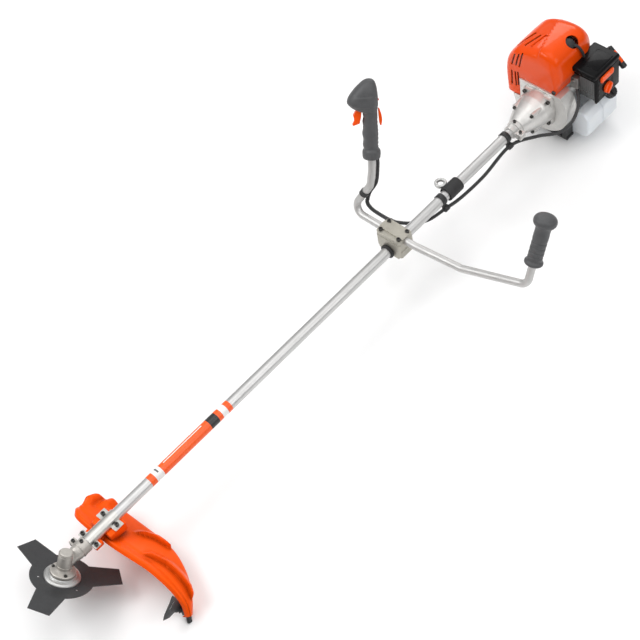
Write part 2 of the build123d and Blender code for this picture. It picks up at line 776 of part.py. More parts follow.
# ----------------------------------------------------------------------------
# Clutch housing and clutch
# ----------------------------------------------------------------------------
house_bolts = corner_planes(house_bolt_circle, flange_rear - flange_thickness)
cone_bolts = corner_planes(37.5, 1540)
collar_bolts = [up_plane(25, 1495, 8.0)]
collar_index = [up_plane(0, 1505, 21.1)]

with BuildPart() as clutch_housing:
    turn_on_shaft([
        (1484, 0), (1484, 16.2), (1485, 17.2), (1499, 17.2), (1500.5, 20.4), (1509, 21.1),
        (1511, 23), (1524, 29), (1540, 35.5), (1558, 41), (1576, 45), (1596, 47),
        (flange_rear, 47), (flange_rear, 0)])
    with BuildSketch(shaft_plane(flange_rear)):
        RectangleRounded(87, 87, 8.4)
    extrude(amount=flange_thickness)
    # bolt bosses standing on the cone
    with Locations(*cone_bolts):
        Cylinder(6.6, 30, align=UNDER)
    block(22, 1495, 0, (22, 19, 16))
    # clutch chamber, bearing seat, rod passage and tube socket
    shaft_bore(flange_rear + 1, 41.5, 30)
    shaft_bore(1576, 34, 8.5)
    shaft_bore(1570, crank_bearing_r + seat_gap, 14.2)
    shaft_bore(1558, 12, 32)
    shaft_bore(tube_rear + 0.6, tube_seat, 60)
    # clamp slit through the collar's ear
    pocket(25, 1488, 0, (36, 32, 1.6))
    drill(house_bolts, 3.1, 30)
    drill(raised(house_bolts, 12), 5.6, 12)
    drill(cone_bolts, 2.55, 9)
    drill(raised(cone_bolts, 30), 4.5, 30)
    drill(collar_bolts, 2.55, 30)
    drill(collar_index, 2.55, 7)
save(clutch_housing, "clutch_housing")

drum_r = 39.0            # clutch drum outside radius

with BuildPart() as clutch_drum:
    turn_on_shaft([
        (1545, 3.99), (1545, 7.46), (1567.6, 7.46), (1567.6, 12), (1577.5, 12), (1577.5, 37.5),
        (1579, drum_r), (1600, drum_r), (1600, 36.6), (1580.5, 36.6), (1580.5, 9), (1588, 9),
        (1588, 3.99)])
save(clutch_drum, "clutch_drum")

shoe_rear = 1601
shoe_width = 18
shoe_pins = [(0, 26), (0, -26)]      # (x, z) of the pins that carry the shoes
spring_planes = [up_plane(x, shoe_rear - shoe_width / 2, 0) for x in (-26, 26)]

with BuildPart() as clutch_shoes:
    with BuildSketch(shaft_plane(shoe_rear)):
        Circle(35.6)
        Circle(17, mode=Mode.SUBTRACT)
        Rectangle(80, 7, mode=Mode.SUBTRACT)
        with Locations(*shoe_pins):
            Circle(4.1, mode=Mode.SUBTRACT)
    extrude(amount=shoe_width)
    with Locations(*spring_planes):
        Cylinder(3.2, 24, mode=Mode.SUBTRACT)
    # return springs in the shoes' pockets, as plain tubes
    with Locations(*spring_planes):
        Cylinder(2.9, 23)
        Cylinder(1.9, 23, mode=Mode.SUBTRACT)
save(clutch_shoes, "clutch_shoes")

# ----------------------------------------------------------------------------
# Engine: rotating group
# ----------------------------------------------------------------------------
with BuildPart() as flywheel:
    turn_on_shaft([
        (1608, 7.52), (1608, 14), (1614, 16), (1618, 40), (1618, 46), (1630, 46), (1630, 50),
        (1636, 50), (1636, 40), (1626, 38), (1622, 18), (1638, 14), (1638, 7.52)])
    # fan vanes
    with BuildSketch(shaft_plane(1629.5)):
        with PolarLocations(51.2, 20):
            Rectangle(16, 2.2)
    extrude(amount=16)
    # pins of the clutch shoes and the bosses they stand on
    for station, radius, length in ((1619, 4.05, 17), (1621, 7, 11)):
        with BuildSketch(shaft_plane(station)):
            with Locations(*shoe_pins):
                Circle(radius)
        extrude(amount=length)
save(flywheel, "flywheel")

journal_r = 7.47
web_r = 27

with BuildPart() as crankshaft:
    turn_on_shaft([
        (1606, 0), (1606, 6.5), (1607, journal_r), (1666.5, journal_r), (1666.5, 12), (1668, 12),
        (1668, web_r), (1682, web_r), (1682, 0)])
    turn_on_shaft([
        (1698, 0), (1698, web_r), (1712, web_r), (1712, 12), (1713.5, 12), (1713.5, journal_r),
        (1744, journal_r), (1745, 6.5), (1745, 0)])
save(crankshaft, "crankshaft")

# ----------------------------------------------------------------------------
# Engine: fan housing and crankcase
# ----------------------------------------------------------------------------
fan_housing_r = 82
arc_start, arc_end, arc_steps = 39.5, -174, 34
arc_angles = [
    radians(arc_start - i * (arc_start - arc_end) / arc_steps) for i in range(arc_steps + 1)]
arc_points = [(fan_housing_r * cos(angle), fan_housing_r * sin(angle)) for angle in arc_angles]

with BuildPart() as fan_housing:
    prism(
        outline(shaft_plane(fan_rear), [(-60, 52)] + arc_points + [(-60, -8.5)]),
        fan_rear - flange_rear - 0.3)
    shaft_bore(1645, 64, 36)
    shaft_bore(1645, 40, 60)
    drill(house_bolts, 3.1, 30)
save(fan_housing, "fan_housing")

case_front = 1641.6
case_rear = 1734.0
case_flange_rear = 1648

with BuildPart() as crankcase:
    with BuildSketch(shaft_plane(case_rear)):
        Circle(43)
        with Locations((0, 20)):
            Rectangle(72, 39.6)
    extrude(amount=case_rear - case_front)
    # mounting flange against the fan housing, closing its rear
    with BuildSketch(shaft_plane(case_flange_rear)):
        Circle(76)
        with Locations((0, 66)):
            Rectangle(200, 30, mode=Mode.SUBTRACT)
        with Locations((-78, 40)):
            Rectangle(44, 100, mode=Mode.SUBTRACT)
    extrude(amount=case_flange_rear - case_front)
    # flat seat of the cylinder
    pocket(0, 1700, 39.8, (120, 90, 20), ON)
    # crank chamber, two bearing seats and the shaft's passage
    shaft_bore(1713.4, 29, 46.8)
    shaft_bore(1664.5, crank_bearing_r + seat_gap, 13)
    shaft_bore(1728.5, crank_bearing_r + seat_gap, 13)
    shaft_bore(1740, 12.6, 110)
    bore(up_plane(0, cylinder_station, 39), 24, 30, MIDDLE)
save(crankcase, "crankcase")

# ----------------------------------------------------------------------------
# Engine: connecting rod, piston and cylinder
# ----------------------------------------------------------------------------
crank_pin_z = 16.0       # the crank stands at the top of its stroke
rod_length = 56.0
piston_pin_z = crank_pin_z + rod_length

with BuildPart() as connecting_rod:
    with BuildSketch(shaft_plane(cylinder_station + 6)):
        with Locations((0, crank_pin_z)):
            Circle(11)
        with Locations((0, piston_pin_z)):
            Circle(8)
        with Locations((0, crank_pin_z + rod_length / 2)):
            Rectangle(8, rod_length)
        with Locations((0, crank_pin_z)):
            Circle(7.04, mode=Mode.SUBTRACT)
        with Locations((0, piston_pin_z)):
            Circle(5.04, mode=Mode.SUBTRACT)
    extrude(amount=12)
    # crank pin, just short of both webs
    with BuildSketch(shaft_plane(1697.7)):
        with Locations((0, crank_pin_z)):
            Circle(7.0)
    extrude(amount=15.4)
save(connecting_rod, "connecting_rod")

with BuildPart() as piston:
    peg(up_plane(0, cylinder_station, 60), 19.95, 32)
    bore(up_plane(0, cylinder_station, 59), 16.5, 28)
    # piston pin
    peg(shaft_plane(cylinder_station, z=piston_pin_z), 5.0, 36, MIDDLE)
    # ring grooves
    for z in (86.0, 89.0):
        with BuildSketch(Plane.XY.offset(z)):
            with Locations((0, shaft_y(cylinder_station))):
                Circle(21)
                Circle(18.6, mode=Mode.SUBTRACT)
        extrude(amount=1.2, mode=Mode.SUBTRACT)
save(piston, "piston")

cylinder_base = 40.2
port_r = 8
intake_z = 50
exhaust_z = 62
plug_dir = Vector(0.5, 0, 0.8660254)
plug_foot = Vector(2.0, shaft_y(cylinder_station), 99.0)


def plug_plane(distance):
    """Plane across the spark plug, a distance up from its foot."""
    return Plane(origin=plug_foot + plug_dir * distance, z_dir=plug_dir)


with BuildPart() as cylinder:
    peg(up_plane(0, cylinder_station, cylinder_base), 27, 76)
    with BuildSketch(Plane.XY.offset(cylinder_base)):
        with Locations((0, shaft_y(cylinder_station))):
            RectangleRounded(66, 66, 6)
    extrude(amount=7)
    # cooling fins
    for i in range(8):
        with BuildSketch(Plane.XY.offset(54 + i * 8)):
            with Locations((0, shaft_y(cylinder_station))):
                RectangleRounded(72, 72, 12)
        extrude(amount=2.4)
    # intake stub on the left, exhaust stub on the right
    with Locations(side_plane(20, cylinder_station, intake_z)):
        Box(24, 30, 21.5, align=ON)
    with Locations(side_plane(-20, cylinder_station, exhaust_z, -1)):
        Box(24, 30, 19.5, align=ON)
    # trim below the base, then the cylinder bore and ports
    pocket(0, cylinder_station, cylinder_base, (160, 160, 30), UNDER)
    bore(up_plane(0, cylinder_station, 39), 20.0, 62)
    bore(side_plane(45, cylinder_station, intake_z), port_r, 28, UNDER)
    bore(side_plane(-45, cylinder_station, exhaust_z, -1), port_r, 28, UNDER)
    # spark plug hole and the clearance above it
    bore(plug_plane(0), 7.0, 60)
    bore(plug_plane(17.5), 13.5, 40)
save(cylinder, "cylinder")

with BuildPart() as spark_plug:
    peg(plug_plane(4), 6.9, 14)
    with BuildSketch(plug_plane(17.6)):
        RegularPolygon(9.5, 6, major_radius=False)
    extrude(amount=9)
    peg(plug_plane(26), 5.0, 22)
save(spark_plug, "spark_plug")

boot_top = plug_foot + plug_dir * 47
lead_points = [
    boot_top, boot_top + Vector(6, 24, 0), boot_top + Vector(8, 41, -14),
    boot_top + Vector(2, 43.4, -45)]

with BuildPart() as plug_boot:
    peg(plug_plane(30), 10.5, 17)
    with Locations(plug_plane(47)):
        Sphere(12.0)
    add(spline_tube(lead_points, 3.4))
    bore(plug_plane(29), 5.03, 19.2)
save(plug_boot, "plug_boot")

# ----------------------------------------------------------------------------
# Muffler on the right of the cylinder
# ----------------------------------------------------------------------------
muffler_x, muffler_z = -69.5, 66
muffler_size = (54, 66, 60)
muffler_wall = 2.5

with BuildPart() as muffler:
    block(muffler_x, cylinder_station, muffler_z, muffler_size)
    fillet(muffler.edges().filter_by(Axis.Z), 8)
    pocket(
        muffler_x, cylinder_station, muffler_z, [size - 2 * muffler_wall for size in muffler_size])
    bore(side_plane(-36, cylinder_station, exhaust_z, -1), port_r, 12, MIDDLE)
    # outlet pipe on the rear face
    outlet = Plane(origin=(-84, shaft_y(cylinder_station + 33), 52), z_dir=(0, 1, 0))
    peg(outlet, 6, 9)
    bore(outlet, 4.6, 24, MIDDLE)
save(muffler, "muffler")

# ----------------------------------------------------------------------------
# Engine cover: (x, z) profiles across the shaft, drawn in at the front and rear
# ----------------------------------------------------------------------------
cover_outer = [
    (-107, -7), (-107, 72), (-98, 106), (-74, 141), (-42, 163), (-8, 170), (22, 166),
    (40, 148), (47, 118), (47, 53.5), (-60.4, 53.5), (-60.4, -7)]
cover_inner = [
    (-104.4, -12), (-104.4, 71), (-95.6, 104.5), (-72.4, 138.6), (-41, 160.3), (-8.2, 167.3),
    (21, 163.6), (37.8, 146.6), (44.4, 117.6), (44.4, 47), (-63, 47), (-63, -12)]
draw_x, draw_z = -30, 54
cover_full_front = 1622  # stations between which the section is full size
cover_full_rear = 1738


def drawn_in(points, scale):
    """Points above the draw centre pulled towards it."""
    return [
        (draw_x + (x - draw_x) * scale, draw_z + (z - draw_z) * scale) if z > draw_z else (x, z)
        for x, z in points]


def cover_loft(sections, mode=Mode.ADD):
    """Ruled loft through (station, points) sections."""
    faces = [outline(shaft_plane(station), points) for station, points in sections]
    loft(faces, ruled=True, mode=mode)


with BuildPart() as engine_cover:
    cover_loft([(1604, drawn_in(cover_outer, 0.90)), (cover_full_front, cover_outer)])
    prism(outline(shaft_plane(cover_full_rear), cover_outer), 116)
    cover_loft([(cover_full_rear, cover_outer), (1750, drawn_in(cover_outer, 0.93))])
    # hollow
    cover_loft(
        [(1606.6, drawn_in(cover_inner, 0.90)), (cover_full_front, cover_inner)], Mode.SUBTRACT)
    prism(outline(shaft_plane(cover_full_rear), cover_inner), 116.5, mode=Mode.SUBTRACT)
    cover_loft([(1737.9, cover_inner), (1747.4, drawn_in(cover_inner, 0.935))], Mode.SUBTRACT)
    # room for the starter; inner wall beside the crankcase kept at the front only
    shaft_bore(1760, 60, 30)
    pocket(-60, 1696, 20, (12, 108, 70))
    # carburettor notch and plug opening
    pocket(46, 1688, 52, (10, 50, 46))
    bore(plug_plane(20), 17, 90)
    # vents in the front and in the right side
    with Locations(*[(x, shaft_y(1606), z) for x in (-92, -82, -72) for z in (28, 92)]):
        Box(4.5, 24, 44, mode=Mode.SUBTRACT)
    with Locations(*[
            (-106, shaft_y(station), z) for station in range(1650, 1711, 12) for z in (24, 66)]):
        Box(12, 5, 30, mode=Mode.SUBTRACT)
save(engine_cover, "engine_cover")

# ----------------------------------------------------------------------------
# Carburettor on the left of the cylinder
# ----------------------------------------------------------------------------
bulb_x, bulb_station = 53, 1683
lever_x, lever_z = 54, 56

with BuildPart() as carburettor:
    block(53.2, 1687, 46, (22.4, 34, 36))
    fillet(carburettor.edges().filter_by(Axis.Y), 3)
    bore(side_plane(66, cylinder_station, intake_z), port_r, 30, UNDER)
    # socket of the primer bulb
    bore(up_plane(bulb_x, bulb_station, 27.5), 9.2, 18, MIDDLE)
    # stepped stud of the throttle lever
    peg(shaft_plane(1670, lever_x, lever_z), 2.2, 3)
    peg(shaft_plane(1670, lever_x, lever_z), 1.44, 6)
save(carburettor, "carburettor")

with BuildPart() as primer_bulb:
    peg(up_plane(bulb_x, bulb_station, 32.6), 8.8, 10, UNDER)
    with Locations((bulb_x, shaft_y(bulb_station), 22.6)):
        Sphere(8.0)
save(primer_bulb, "primer_bulb")

with BuildPart() as throttle_lever:
    with BuildSketch(shaft_plane(1666.9, lever_x, lever_z)):
        Circle(5)
        with Locations((-6, 0)):
            Rectangle(13, 6)
        with Locations((-12, 0)):
            Circle(3)
        Circle(1.5, mode=Mode.SUBTRACT)
    extrude(amount=1.8)
save(throttle_lever, "throttle_lever")

# ----------------------------------------------------------------------------
# Air filter
# ----------------------------------------------------------------------------
filter_front = 1668.0
filter_rear = 1760.0
filter_middle = (filter_front + filter_rear) / 2
base_middle = 1713.5
knob_x = 123.1           # just outside the cover's left face
choke_station, choke_z = 1722, 84

with BuildPart() as air_filter_cover:
    block(85.5, filter_middle, 56, (75, filter_rear - filter_front, 88))
    fillet(air_filter_cover.edges().filter_by(Axis.Y).sort_by(Axis.X)[-2:], 7)
    fillet(air_filter_cover.faces().sort_by(Axis.Z)[-1].edges().sort_by(Axis.Y)[0], 4)
    # hollow, open front, and a notch on the engine side
    pocket(82.9, filter_middle, 50, (74.2, 86.8, 94))
    pocket(80, filter_front, 40, (68, 12, 88))
    pocket(52, 1756, 34, (28, 20, 60))
    # pivot stud of the choke lever
    peg(side_plane(121.5, choke_station, choke_z), 1.9, 5.9)
save(air_filter_cover, "air_filter_cover")

with BuildPart() as air_filter_base:
    block(92, base_middle, 55, (53, 82, 80))
    # fluted front
    with Locations(*[(70 + i * 6, shaft_y(1672.5), 55) for i in range(8)]):
        Cylinder(1.8, 84, mode=Mode.SUBTRACT)
    pocket(104, base_middle, 55, (32, 76, 74))
    bore(side_plane(60, cylinder_station, intake_z), port_r, 40)
save(air_filter_base, "air_filter_base")

knob_plane = Plane(origin=(knob_x, shaft_y(1709), 42), x_dir=(0, 1, 0), z_dir=(1, 0, 0))

with BuildPart() as filter_knob:
    with BuildSketch(knob_plane):
        Circle(15)
    extrude(amount=4)
    with BuildSketch(knob_plane.offset(4)):
        SlotOverall(26, 8, rotation=55)
    extrude(amount=5)
save(filter_knob, "filter_knob")

choke_pivot = (knob_x, shaft_y(choke_station), choke_z)

with BuildPart() as choke_lever:
    with BuildSketch(Plane(origin=choke_pivot, x_dir=(0, -1, 0), z_dir=(-1, 0, 0))):
        with Locations((17, 0)):
            RectangleRounded(50, 17, 6)
    extrude(amount=-4.5)
    bore(Plane(origin=choke_pivot, z_dir=(1, 0, 0)), 2.0, 20, MIDDLE)
save(choke_lever, "choke_lever")

# ----------------------------------------------------------------------------
# Fuel tank: (x, z) profiles across the shaft
# ----------------------------------------------------------------------------
tank_outer = [
    (-86, -99), (100, -99), (111, -86), (111, -36), (98, -22), (74, -22), (58, -67),
    (-58, -67), (-70, -50), (-86, -50)]
tank_inner = [
    (-83.5, -96.6), (99, -96.6), (108.5, -85), (108.5, -37), (97, -24.6), (75.6, -24.6),
    (59.8, -69.4), (-59.2, -69.4), (-71.2, -52.4), (-83.5, -52.4)]
tank_rear = 1768
tank_length = 120
tank_end_wall = 2.6
cap_dir = Vector(0.6, 0, 0.8)
cap_foot = Vector(95, shaft_y(1746), -30)
neck_plane = Plane(origin=cap_foot, z_dir=cap_dir)

with BuildPart() as fuel_tank:
    prism(soft_outline(shaft_plane(tank_rear), tank_outer, 5), tank_length)
    for end in (-1, 0):
        fillet(fuel_tank.faces().sort_by(Axis.Y)[end].edges(), 4)
    peg(neck_plane, 12, 16)
    prism(
        soft_outline(shaft_plane(tank_rear - tank_end_wall), tank_inner, 3),
        tank_length - 2 * tank_end_wall, mode=Mode.SUBTRACT)
    bore(neck_plane, 9.5, 60, MIDDLE)
save(fuel_tank, "fuel_tank")

with BuildPart(Plane(origin=cap_foot + cap_dir * 9.5, z_dir=cap_dir)) as fuel_cap:
    Cylinder(16.5, 15, align=ON)
    # finger flutes
    with PolarLocations(17.2, 16):
        Cylinder(1.5, 40, mode=Mode.SUBTRACT)
    Cylinder(12.15, 12, align=ON, mode=Mode.SUBTRACT)
save(fuel_cap, "fuel_cap")

# ----------------------------------------------------------------------------
# Starter and stand
# ----------------------------------------------------------------------------
starter_front = 1736.0
starter_rear = 1782.0
pull_dir = Vector(0.65, 0, 0.76).normalized()
handle_dir = Vector(0, 1, 0).cross(pull_dir)       # along the pull handle
handle_centre = Vector(104, shaft_y(1772), 77)
handle_length = 66
rope_guide = Plane(origin=handle_centre - pull_dir * 9.2, x_dir=(0, 1, 0), z_dir=pull_dir)


def slot_plane(angle):
    """Plane of a radial slot in the starter's rear face."""
    radial = (cos(radians(angle)), 0, sin(radians(angle)))
    origin = (38 * radial[0], shaft_y(1780), 38 * radial[2])
    return Plane(origin=origin, x_dir=radial, z_dir=(0, -1, 0))


with BuildPart() as starter_housing:
    with BuildSketch(shaft_plane(starter_rear)):
        Circle(56)
    extrude(amount=starter_rear - starter_front)
    fillet(starter_housing.edges().filter_by(GeomType.CIRCLE).sort_by(Axis.Y)[-1], 8)
    # rope guide rising to the handle
    with BuildSketch(rope_guide):
        RectangleRounded(17, 24, 5)
    extrude(amount=-64)
    shaft_bore(1778.5, 53, 60)
    bore(rope_guide, 3.2, 120, MIDDLE)
    # post of the pulley
    peg(shaft_plane(1779), 5, 40)
    with Locations(*[slot_plane(angle) for angle in range(100, 370, 30)]):
        Box(18, 4.5, 12, mode=Mode.SUBTRACT)
    # shorten the post in front of the pulley
    shaft_bore(1747, 9, 12)
save(starter_housing, "starter_housing")

with BuildPart() as starter_pulley:
    turn_on_shaft([
        (1748, 5.05), (1748, 12), (1764, 12), (1764, 34), (1766, 34), (1767.5, 26),
        (1772.5, 26), (1774, 34), (1776, 34), (1776, 5.05)])
save(starter_pulley, "starter_pulley")

handle_end = Plane(
    origin=handle_centre - handle_dir * (handle_length / 2), x_dir=(0, 1, 0), z_dir=handle_dir)
handle_axis = Axis(handle_end.origin, handle_dir)

with BuildPart() as starter_handle:
    with BuildSketch(handle_end):
        RectangleRounded(16, 17, 6)
    extrude(amount=handle_length)
    for end in (0, -1):
        fillet(starter_handle.faces().group_by(handle_axis)[end].edges(), 3)
    bore(Plane(origin=handle_centre, z_dir=pull_dir), 2.2, 30, MIDDLE)
save(starter_handle, "starter_handle")

with BuildPart() as engine_stand:
    with BuildSketch(shaft_plane(1646)):
        with Locations((0, -101)):
            RectangleRounded(136, 6, 2.5)
        with Locations((-58, -78), (58, -78)):
            Rectangle(12, 46)
    extrude(amount=26)
    # clear the fan housing
    shaft_bore(1660, fan_housing_r + 0.2, 60)
save(engine_stand, "engine_stand")

# ----------------------------------------------------------------------------
# Throttle cable loom and clips
# ----------------------------------------------------------------------------
loom_r = 4.5
loom_groove_r = loom_r + 0.05
bar_back = bar_plane.z_dir * -1      # rearwards, square to the bar's plane
arm_foot = bar_point(*bar_points[3])
arm = bar_point(*bar_points[2]) - arm_foot
arm_dir = arm.normalized()
bar_clip = arm_foot + arm * 0.69     # middle of the clip on the bar

bar_loom = [
    grip_point(-13.5, 0, -2.5), bar_point(-92, 128) + bar_back * 15,
    bar_point(-88, 90) + bar_back * 15, bar_point(-100, 58) + bar_back * 15,
    bar_point(-104, 34) + bar_back * 17]

with BuildPart() as bar_cable:
    # clip that ties the loom to the bar
    with BuildSketch(Plane(origin=bar_clip - arm_dir * 6, x_dir=bar_back, z_dir=arm_dir)):
        Circle(11)
        with Locations((8, 0)):
            Rectangle(12, 13)
        with Locations((15.5, 0)):
            Circle(7.4)
    extrude(amount=12)
    bore(Plane(origin=bar_clip, z_dir=arm_dir), bar_seat, 60, MIDDLE)
    add(spline_tube(bar_loom, loom_groove_r), mode=Mode.SUBTRACT)
    add(spline_tube(bar_loom, loom_r))
save(bar_cable, "bar_cable")

clip_stations = (1225, 1466)
# loom from the handlebar to the carburettor: (x, station, z)
shaft_loom_table = [
    (-50, 1103, 10), (-38, 1113, 0), (-22, 1141, -19), (0, 1176, -26), (14.5, 1225, -20),
    (18, 1275, -27), (19, 1360, -28), (14.5, 1466, -20), (38, 1540, -37), (70, 1584, -43),
    (90, 1607, -17), (94, 1626, 10), (87, 1643, 33), (72, 1657, 46)]
shaft_loom = [Vector(x, shaft_y(station), z) for x, station, z in shaft_loom_table]

with BuildPart() as shaft_cable:
    # clips that tie the loom to the tube
    for station in clip_stations:
        with BuildSketch(shaft_plane(station + 7)):
            Circle(15)
            with Locations((14.5, -20)):
                Circle(7.6)
            with Locations((7.5, -10.4)):
                Rectangle(13, 9, rotation=-54)
            Circle(tube_seat, mode=Mode.SUBTRACT)
        extrude(amount=14)
    add(spline_tube(shaft_loom, loom_groove_r), mode=Mode.SUBTRACT)
    add(spline_tube(shaft_loom, loom_r))
save(shaft_cable, "shaft_cable")

# ----------------------------------------------------------------------------
# Socket screws of the gear head, guard bracket, handlebar clamp and housings
# ----------------------------------------------------------------------------
# planes, diameter, length under the head
screw_sets = [
    (ear_bolts, 5.0, 13), (index_bolts, 5.0, 4.4), (head_base_bolts, 4.0, 5.6),
    (front_strap_bolts, 6.0, 10), (rear_strap_bolts, 6.0, 22), (clamp_bolts, 6.0, 60),
    (house_bolts, 6.0, 20), (cone_bolts, 5.0, 8), (collar_bolts, 5.0, 14),
    (collar_index, 5.0, 6),
]

with BuildPart() as socket_bolts:
    for planes, diameter, length in screw_sets:
        for plane in planes:
            add(socket_screw(plane, diameter, length))
save(socket_bolts, "socket_bolts")
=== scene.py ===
# A brush cutter. The shaft lies along Y with the blade centre at y = -780 mm and the engine at
# the +Y end; Z is up and the handlebar spreads along X. "Front" means towards the blade (-Y).
# Geometry is written in millimetres, materials, stage and lights in metres.
import bpy
import bmesh
import math
from math import sin, cos, pi, radians
import numpy as np
from mathutils import Vector, Matrix


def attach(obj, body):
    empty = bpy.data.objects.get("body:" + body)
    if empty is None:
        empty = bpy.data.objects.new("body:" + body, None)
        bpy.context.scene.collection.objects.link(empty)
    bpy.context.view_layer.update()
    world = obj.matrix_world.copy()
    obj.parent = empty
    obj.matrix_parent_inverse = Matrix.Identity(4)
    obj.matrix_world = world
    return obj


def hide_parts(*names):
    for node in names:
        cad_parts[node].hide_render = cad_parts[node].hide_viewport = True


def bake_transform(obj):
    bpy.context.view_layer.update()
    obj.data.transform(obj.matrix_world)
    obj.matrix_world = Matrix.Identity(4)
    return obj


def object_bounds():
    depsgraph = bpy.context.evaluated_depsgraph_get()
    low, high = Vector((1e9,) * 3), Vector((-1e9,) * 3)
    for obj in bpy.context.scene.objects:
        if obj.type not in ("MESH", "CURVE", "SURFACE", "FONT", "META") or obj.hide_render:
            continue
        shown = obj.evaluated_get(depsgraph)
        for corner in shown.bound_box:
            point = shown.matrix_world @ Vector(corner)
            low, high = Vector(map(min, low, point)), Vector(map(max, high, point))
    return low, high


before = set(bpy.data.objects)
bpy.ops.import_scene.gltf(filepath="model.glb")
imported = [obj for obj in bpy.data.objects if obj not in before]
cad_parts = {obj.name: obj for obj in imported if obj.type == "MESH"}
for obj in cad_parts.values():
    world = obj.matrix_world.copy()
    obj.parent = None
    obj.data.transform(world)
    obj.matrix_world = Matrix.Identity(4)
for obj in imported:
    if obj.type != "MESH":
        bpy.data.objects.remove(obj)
cad_lo, cad_hi = [list(map(float, corner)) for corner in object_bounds()]
MM = 0.001


# ---------------------------------------------------------------------------
# Shared frames of the machine
# ---------------------------------------------------------------------------
def unit(vector):
    vector = np.asarray(vector, float)
    return vector / (np.linalg.norm(vector) or 1.0)


X = np.array([1.0, 0, 0])
Y = np.array([0, 1.0, 0])
Z = np.array([0, 0, 1.0])
AXES = (X, Y, Z)
BLADE_Y = -780.0
BLADE_UP = np.array([0, 0.5, 0.8660254])       # axle of the tilted blade
BLADE_REAR = np.array([0, 0.8660254, -0.5])    # in the blade's plane, towards the engine


def point(x, along, z):
    """Point at a distance along the shaft from the blade centre."""
    return np.array([x, BLADE_Y + along, z])


def head(x, rear, up):
    """Point in the frame of the blade."""
    return point(0, 0, 0) + X * x + BLADE_REAR * rear + BLADE_UP * up


# Throttle grip: z runs up the handle, x towards the fingers, y across
GRIP_UP = np.array([-0.23566956, 0.39528019, 0.88781385])
GRIP_FWD = np.array([-0.66954013, -0.72818895, 0.14648165])
GRIP_SIDE = np.cross(GRIP_UP, GRIP_FWD)
GRIP_AXES = (GRIP_FWD, GRIP_SIDE, GRIP_UP)
GRIP_ORIGIN = np.array([-102.9, 343.49858, 172.12807])
GRIP_BORE = 9.05


def grip(x, y, z):
    return GRIP_ORIGIN + GRIP_FWD * x + GRIP_SIDE * y + GRIP_UP * z


# Handlebar: its plane leans towards the engine
BAR_LEAN = radians(24)
BAR_UP = np.array([0, sin(BAR_LEAN), cos(BAR_LEAN)])
BAR_BACK = np.array([0, cos(BAR_LEAN), -sin(BAR_LEAN)])
BAR_ORIGIN = np.array([0, 282.0, 34.0])


def bar(x, up, back=0.0):
    return BAR_ORIGIN + X * x + BAR_UP * up + BAR_BACK * back


# ---------------------------------------------------------------------------
# Materials: every one is procedural
# ---------------------------------------------------------------------------
class Shader:
    """A Principled material with short calls for the nodes that feed it."""

    def __init__(self, name):
        self.material = bpy.data.materials.new(name)
        self.material.use_nodes = True
        self.tree = self.material.node_tree
        self.tree.nodes.clear()
        output = self.node("ShaderNodeOutputMaterial")
        principled = self.node("ShaderNodeBsdfPrincipled")
        self.inputs = principled.inputs
        self.link(principled.outputs[0], output.inputs[0])
        self.coords = self.node("ShaderNodeTexCoord").outputs["Object"]

    def node(self, kind, **settings):
        node = self.tree.nodes.new(kind)
        for key, value in settings.items():
            setattr(node, key, value)
        return node

    def link(self, source, target):
        self.tree.links.new(source, target)

    def feed(self, target, value):
        """Link a socket, or set a plain value."""
        if hasattr(value, "node"):
            self.link(value, target)
        else:
            target.default_value = value

    def stretched(self, scale):
        node = self.node("ShaderNodeMapping")
        node.inputs["Scale"].default_value = scale
        self.link(self.coords, node.inputs[0])
        return node.outputs[0]

    def noise(self, scale, detail=3.0, rough=0.55, coords=None, distort=0.0):
        node = self.node("ShaderNodeTexNoise")
        node.inputs["Scale"].default_value = scale
        node.inputs["Detail"].default_value = detail
        node.inputs["Roughness"].default_value = rough
        node.inputs["Distortion"].default_value = distort
        self.link(coords or self.coords, node.inputs["Vector"])
        return node.outputs["Fac"]

    def voronoi(self, scale):
        node = self.node("ShaderNodeTexVoronoi")
        node.inputs["Scale"].default_value = scale
        self.link(self.coords, node.inputs["Vector"])
        return node.outputs["Distance"]

    def remap(self, value, source, target=(0.0, 1.0)):
        node = self.node("ShaderNodeMapRange")
        for key, limit in zip(("From Min", "From Max", "To Min", "To Max"), (*source, *target)):
            node.inputs[key].default_value = limit
        self.link(value, node.inputs["Value"])
        return node.outputs[0]

    def math(self, operation, first, second=0.0, third=None):
        node = self.node("ShaderNodeMath", operation=operation)
        self.feed(node.inputs[0], first)
        self.feed(node.inputs[1], second)
        if third is not None:
            self.feed(node.inputs[2], third)
        return node.outputs[0]

    def mix(self, factor, first, second):
        node = self.node("ShaderNodeMix", data_type="RGBA")
        self.feed(node.inputs["Factor"], factor)
        colour_inputs = [socket for socket in node.inputs if socket.type == "RGBA"]
        for socket, colour in zip(colour_inputs, (first, second)):
            self.feed(socket, colour if hasattr(colour, "node") else (*colour[:3], 1.0))
        return [socket for socket in node.outputs if socket.type == "RGBA"][0]

    def bump(self, height, strength, distance=0.0004, normal=None):
        node = self.node("ShaderNodeBump")
        node.inputs["Strength"].default_value = strength
        node.inputs["Distance"].default_value = distance
        self.link(height, node.inputs["Height"])
        if normal is not None:
            self.link(normal, node.inputs["Normal"])
        return node.outputs[0]

    def soft_edge(self, radius):
        node = self.node("ShaderNodeBevel", samples=4)
        node.inputs["Radius"].default_value = radius
        return node.outputs[0]

    def edge_mask(self, radius):
        """White where the rounded normal turns away from the true one."""
        rounded = self.soft_edge(radius)
        geometry = self.node("ShaderNodeNewGeometry")
        dot = self.node("ShaderNodeVectorMath", operation="DOT_PRODUCT")
        self.link(rounded, dot.inputs[0])
        self.link(geometry.outputs["Normal"], dot.inputs[1])
        turn = self.math("SUBTRACT", 1.0, dot.outputs["Value"])
        return self.math("MINIMUM", self.math("MULTIPLY", turn, 6.0), 1.0)


def shade(colour, factor):
    return tuple(max(0.0, min(1.0, channel * factor)) for channel in colour)


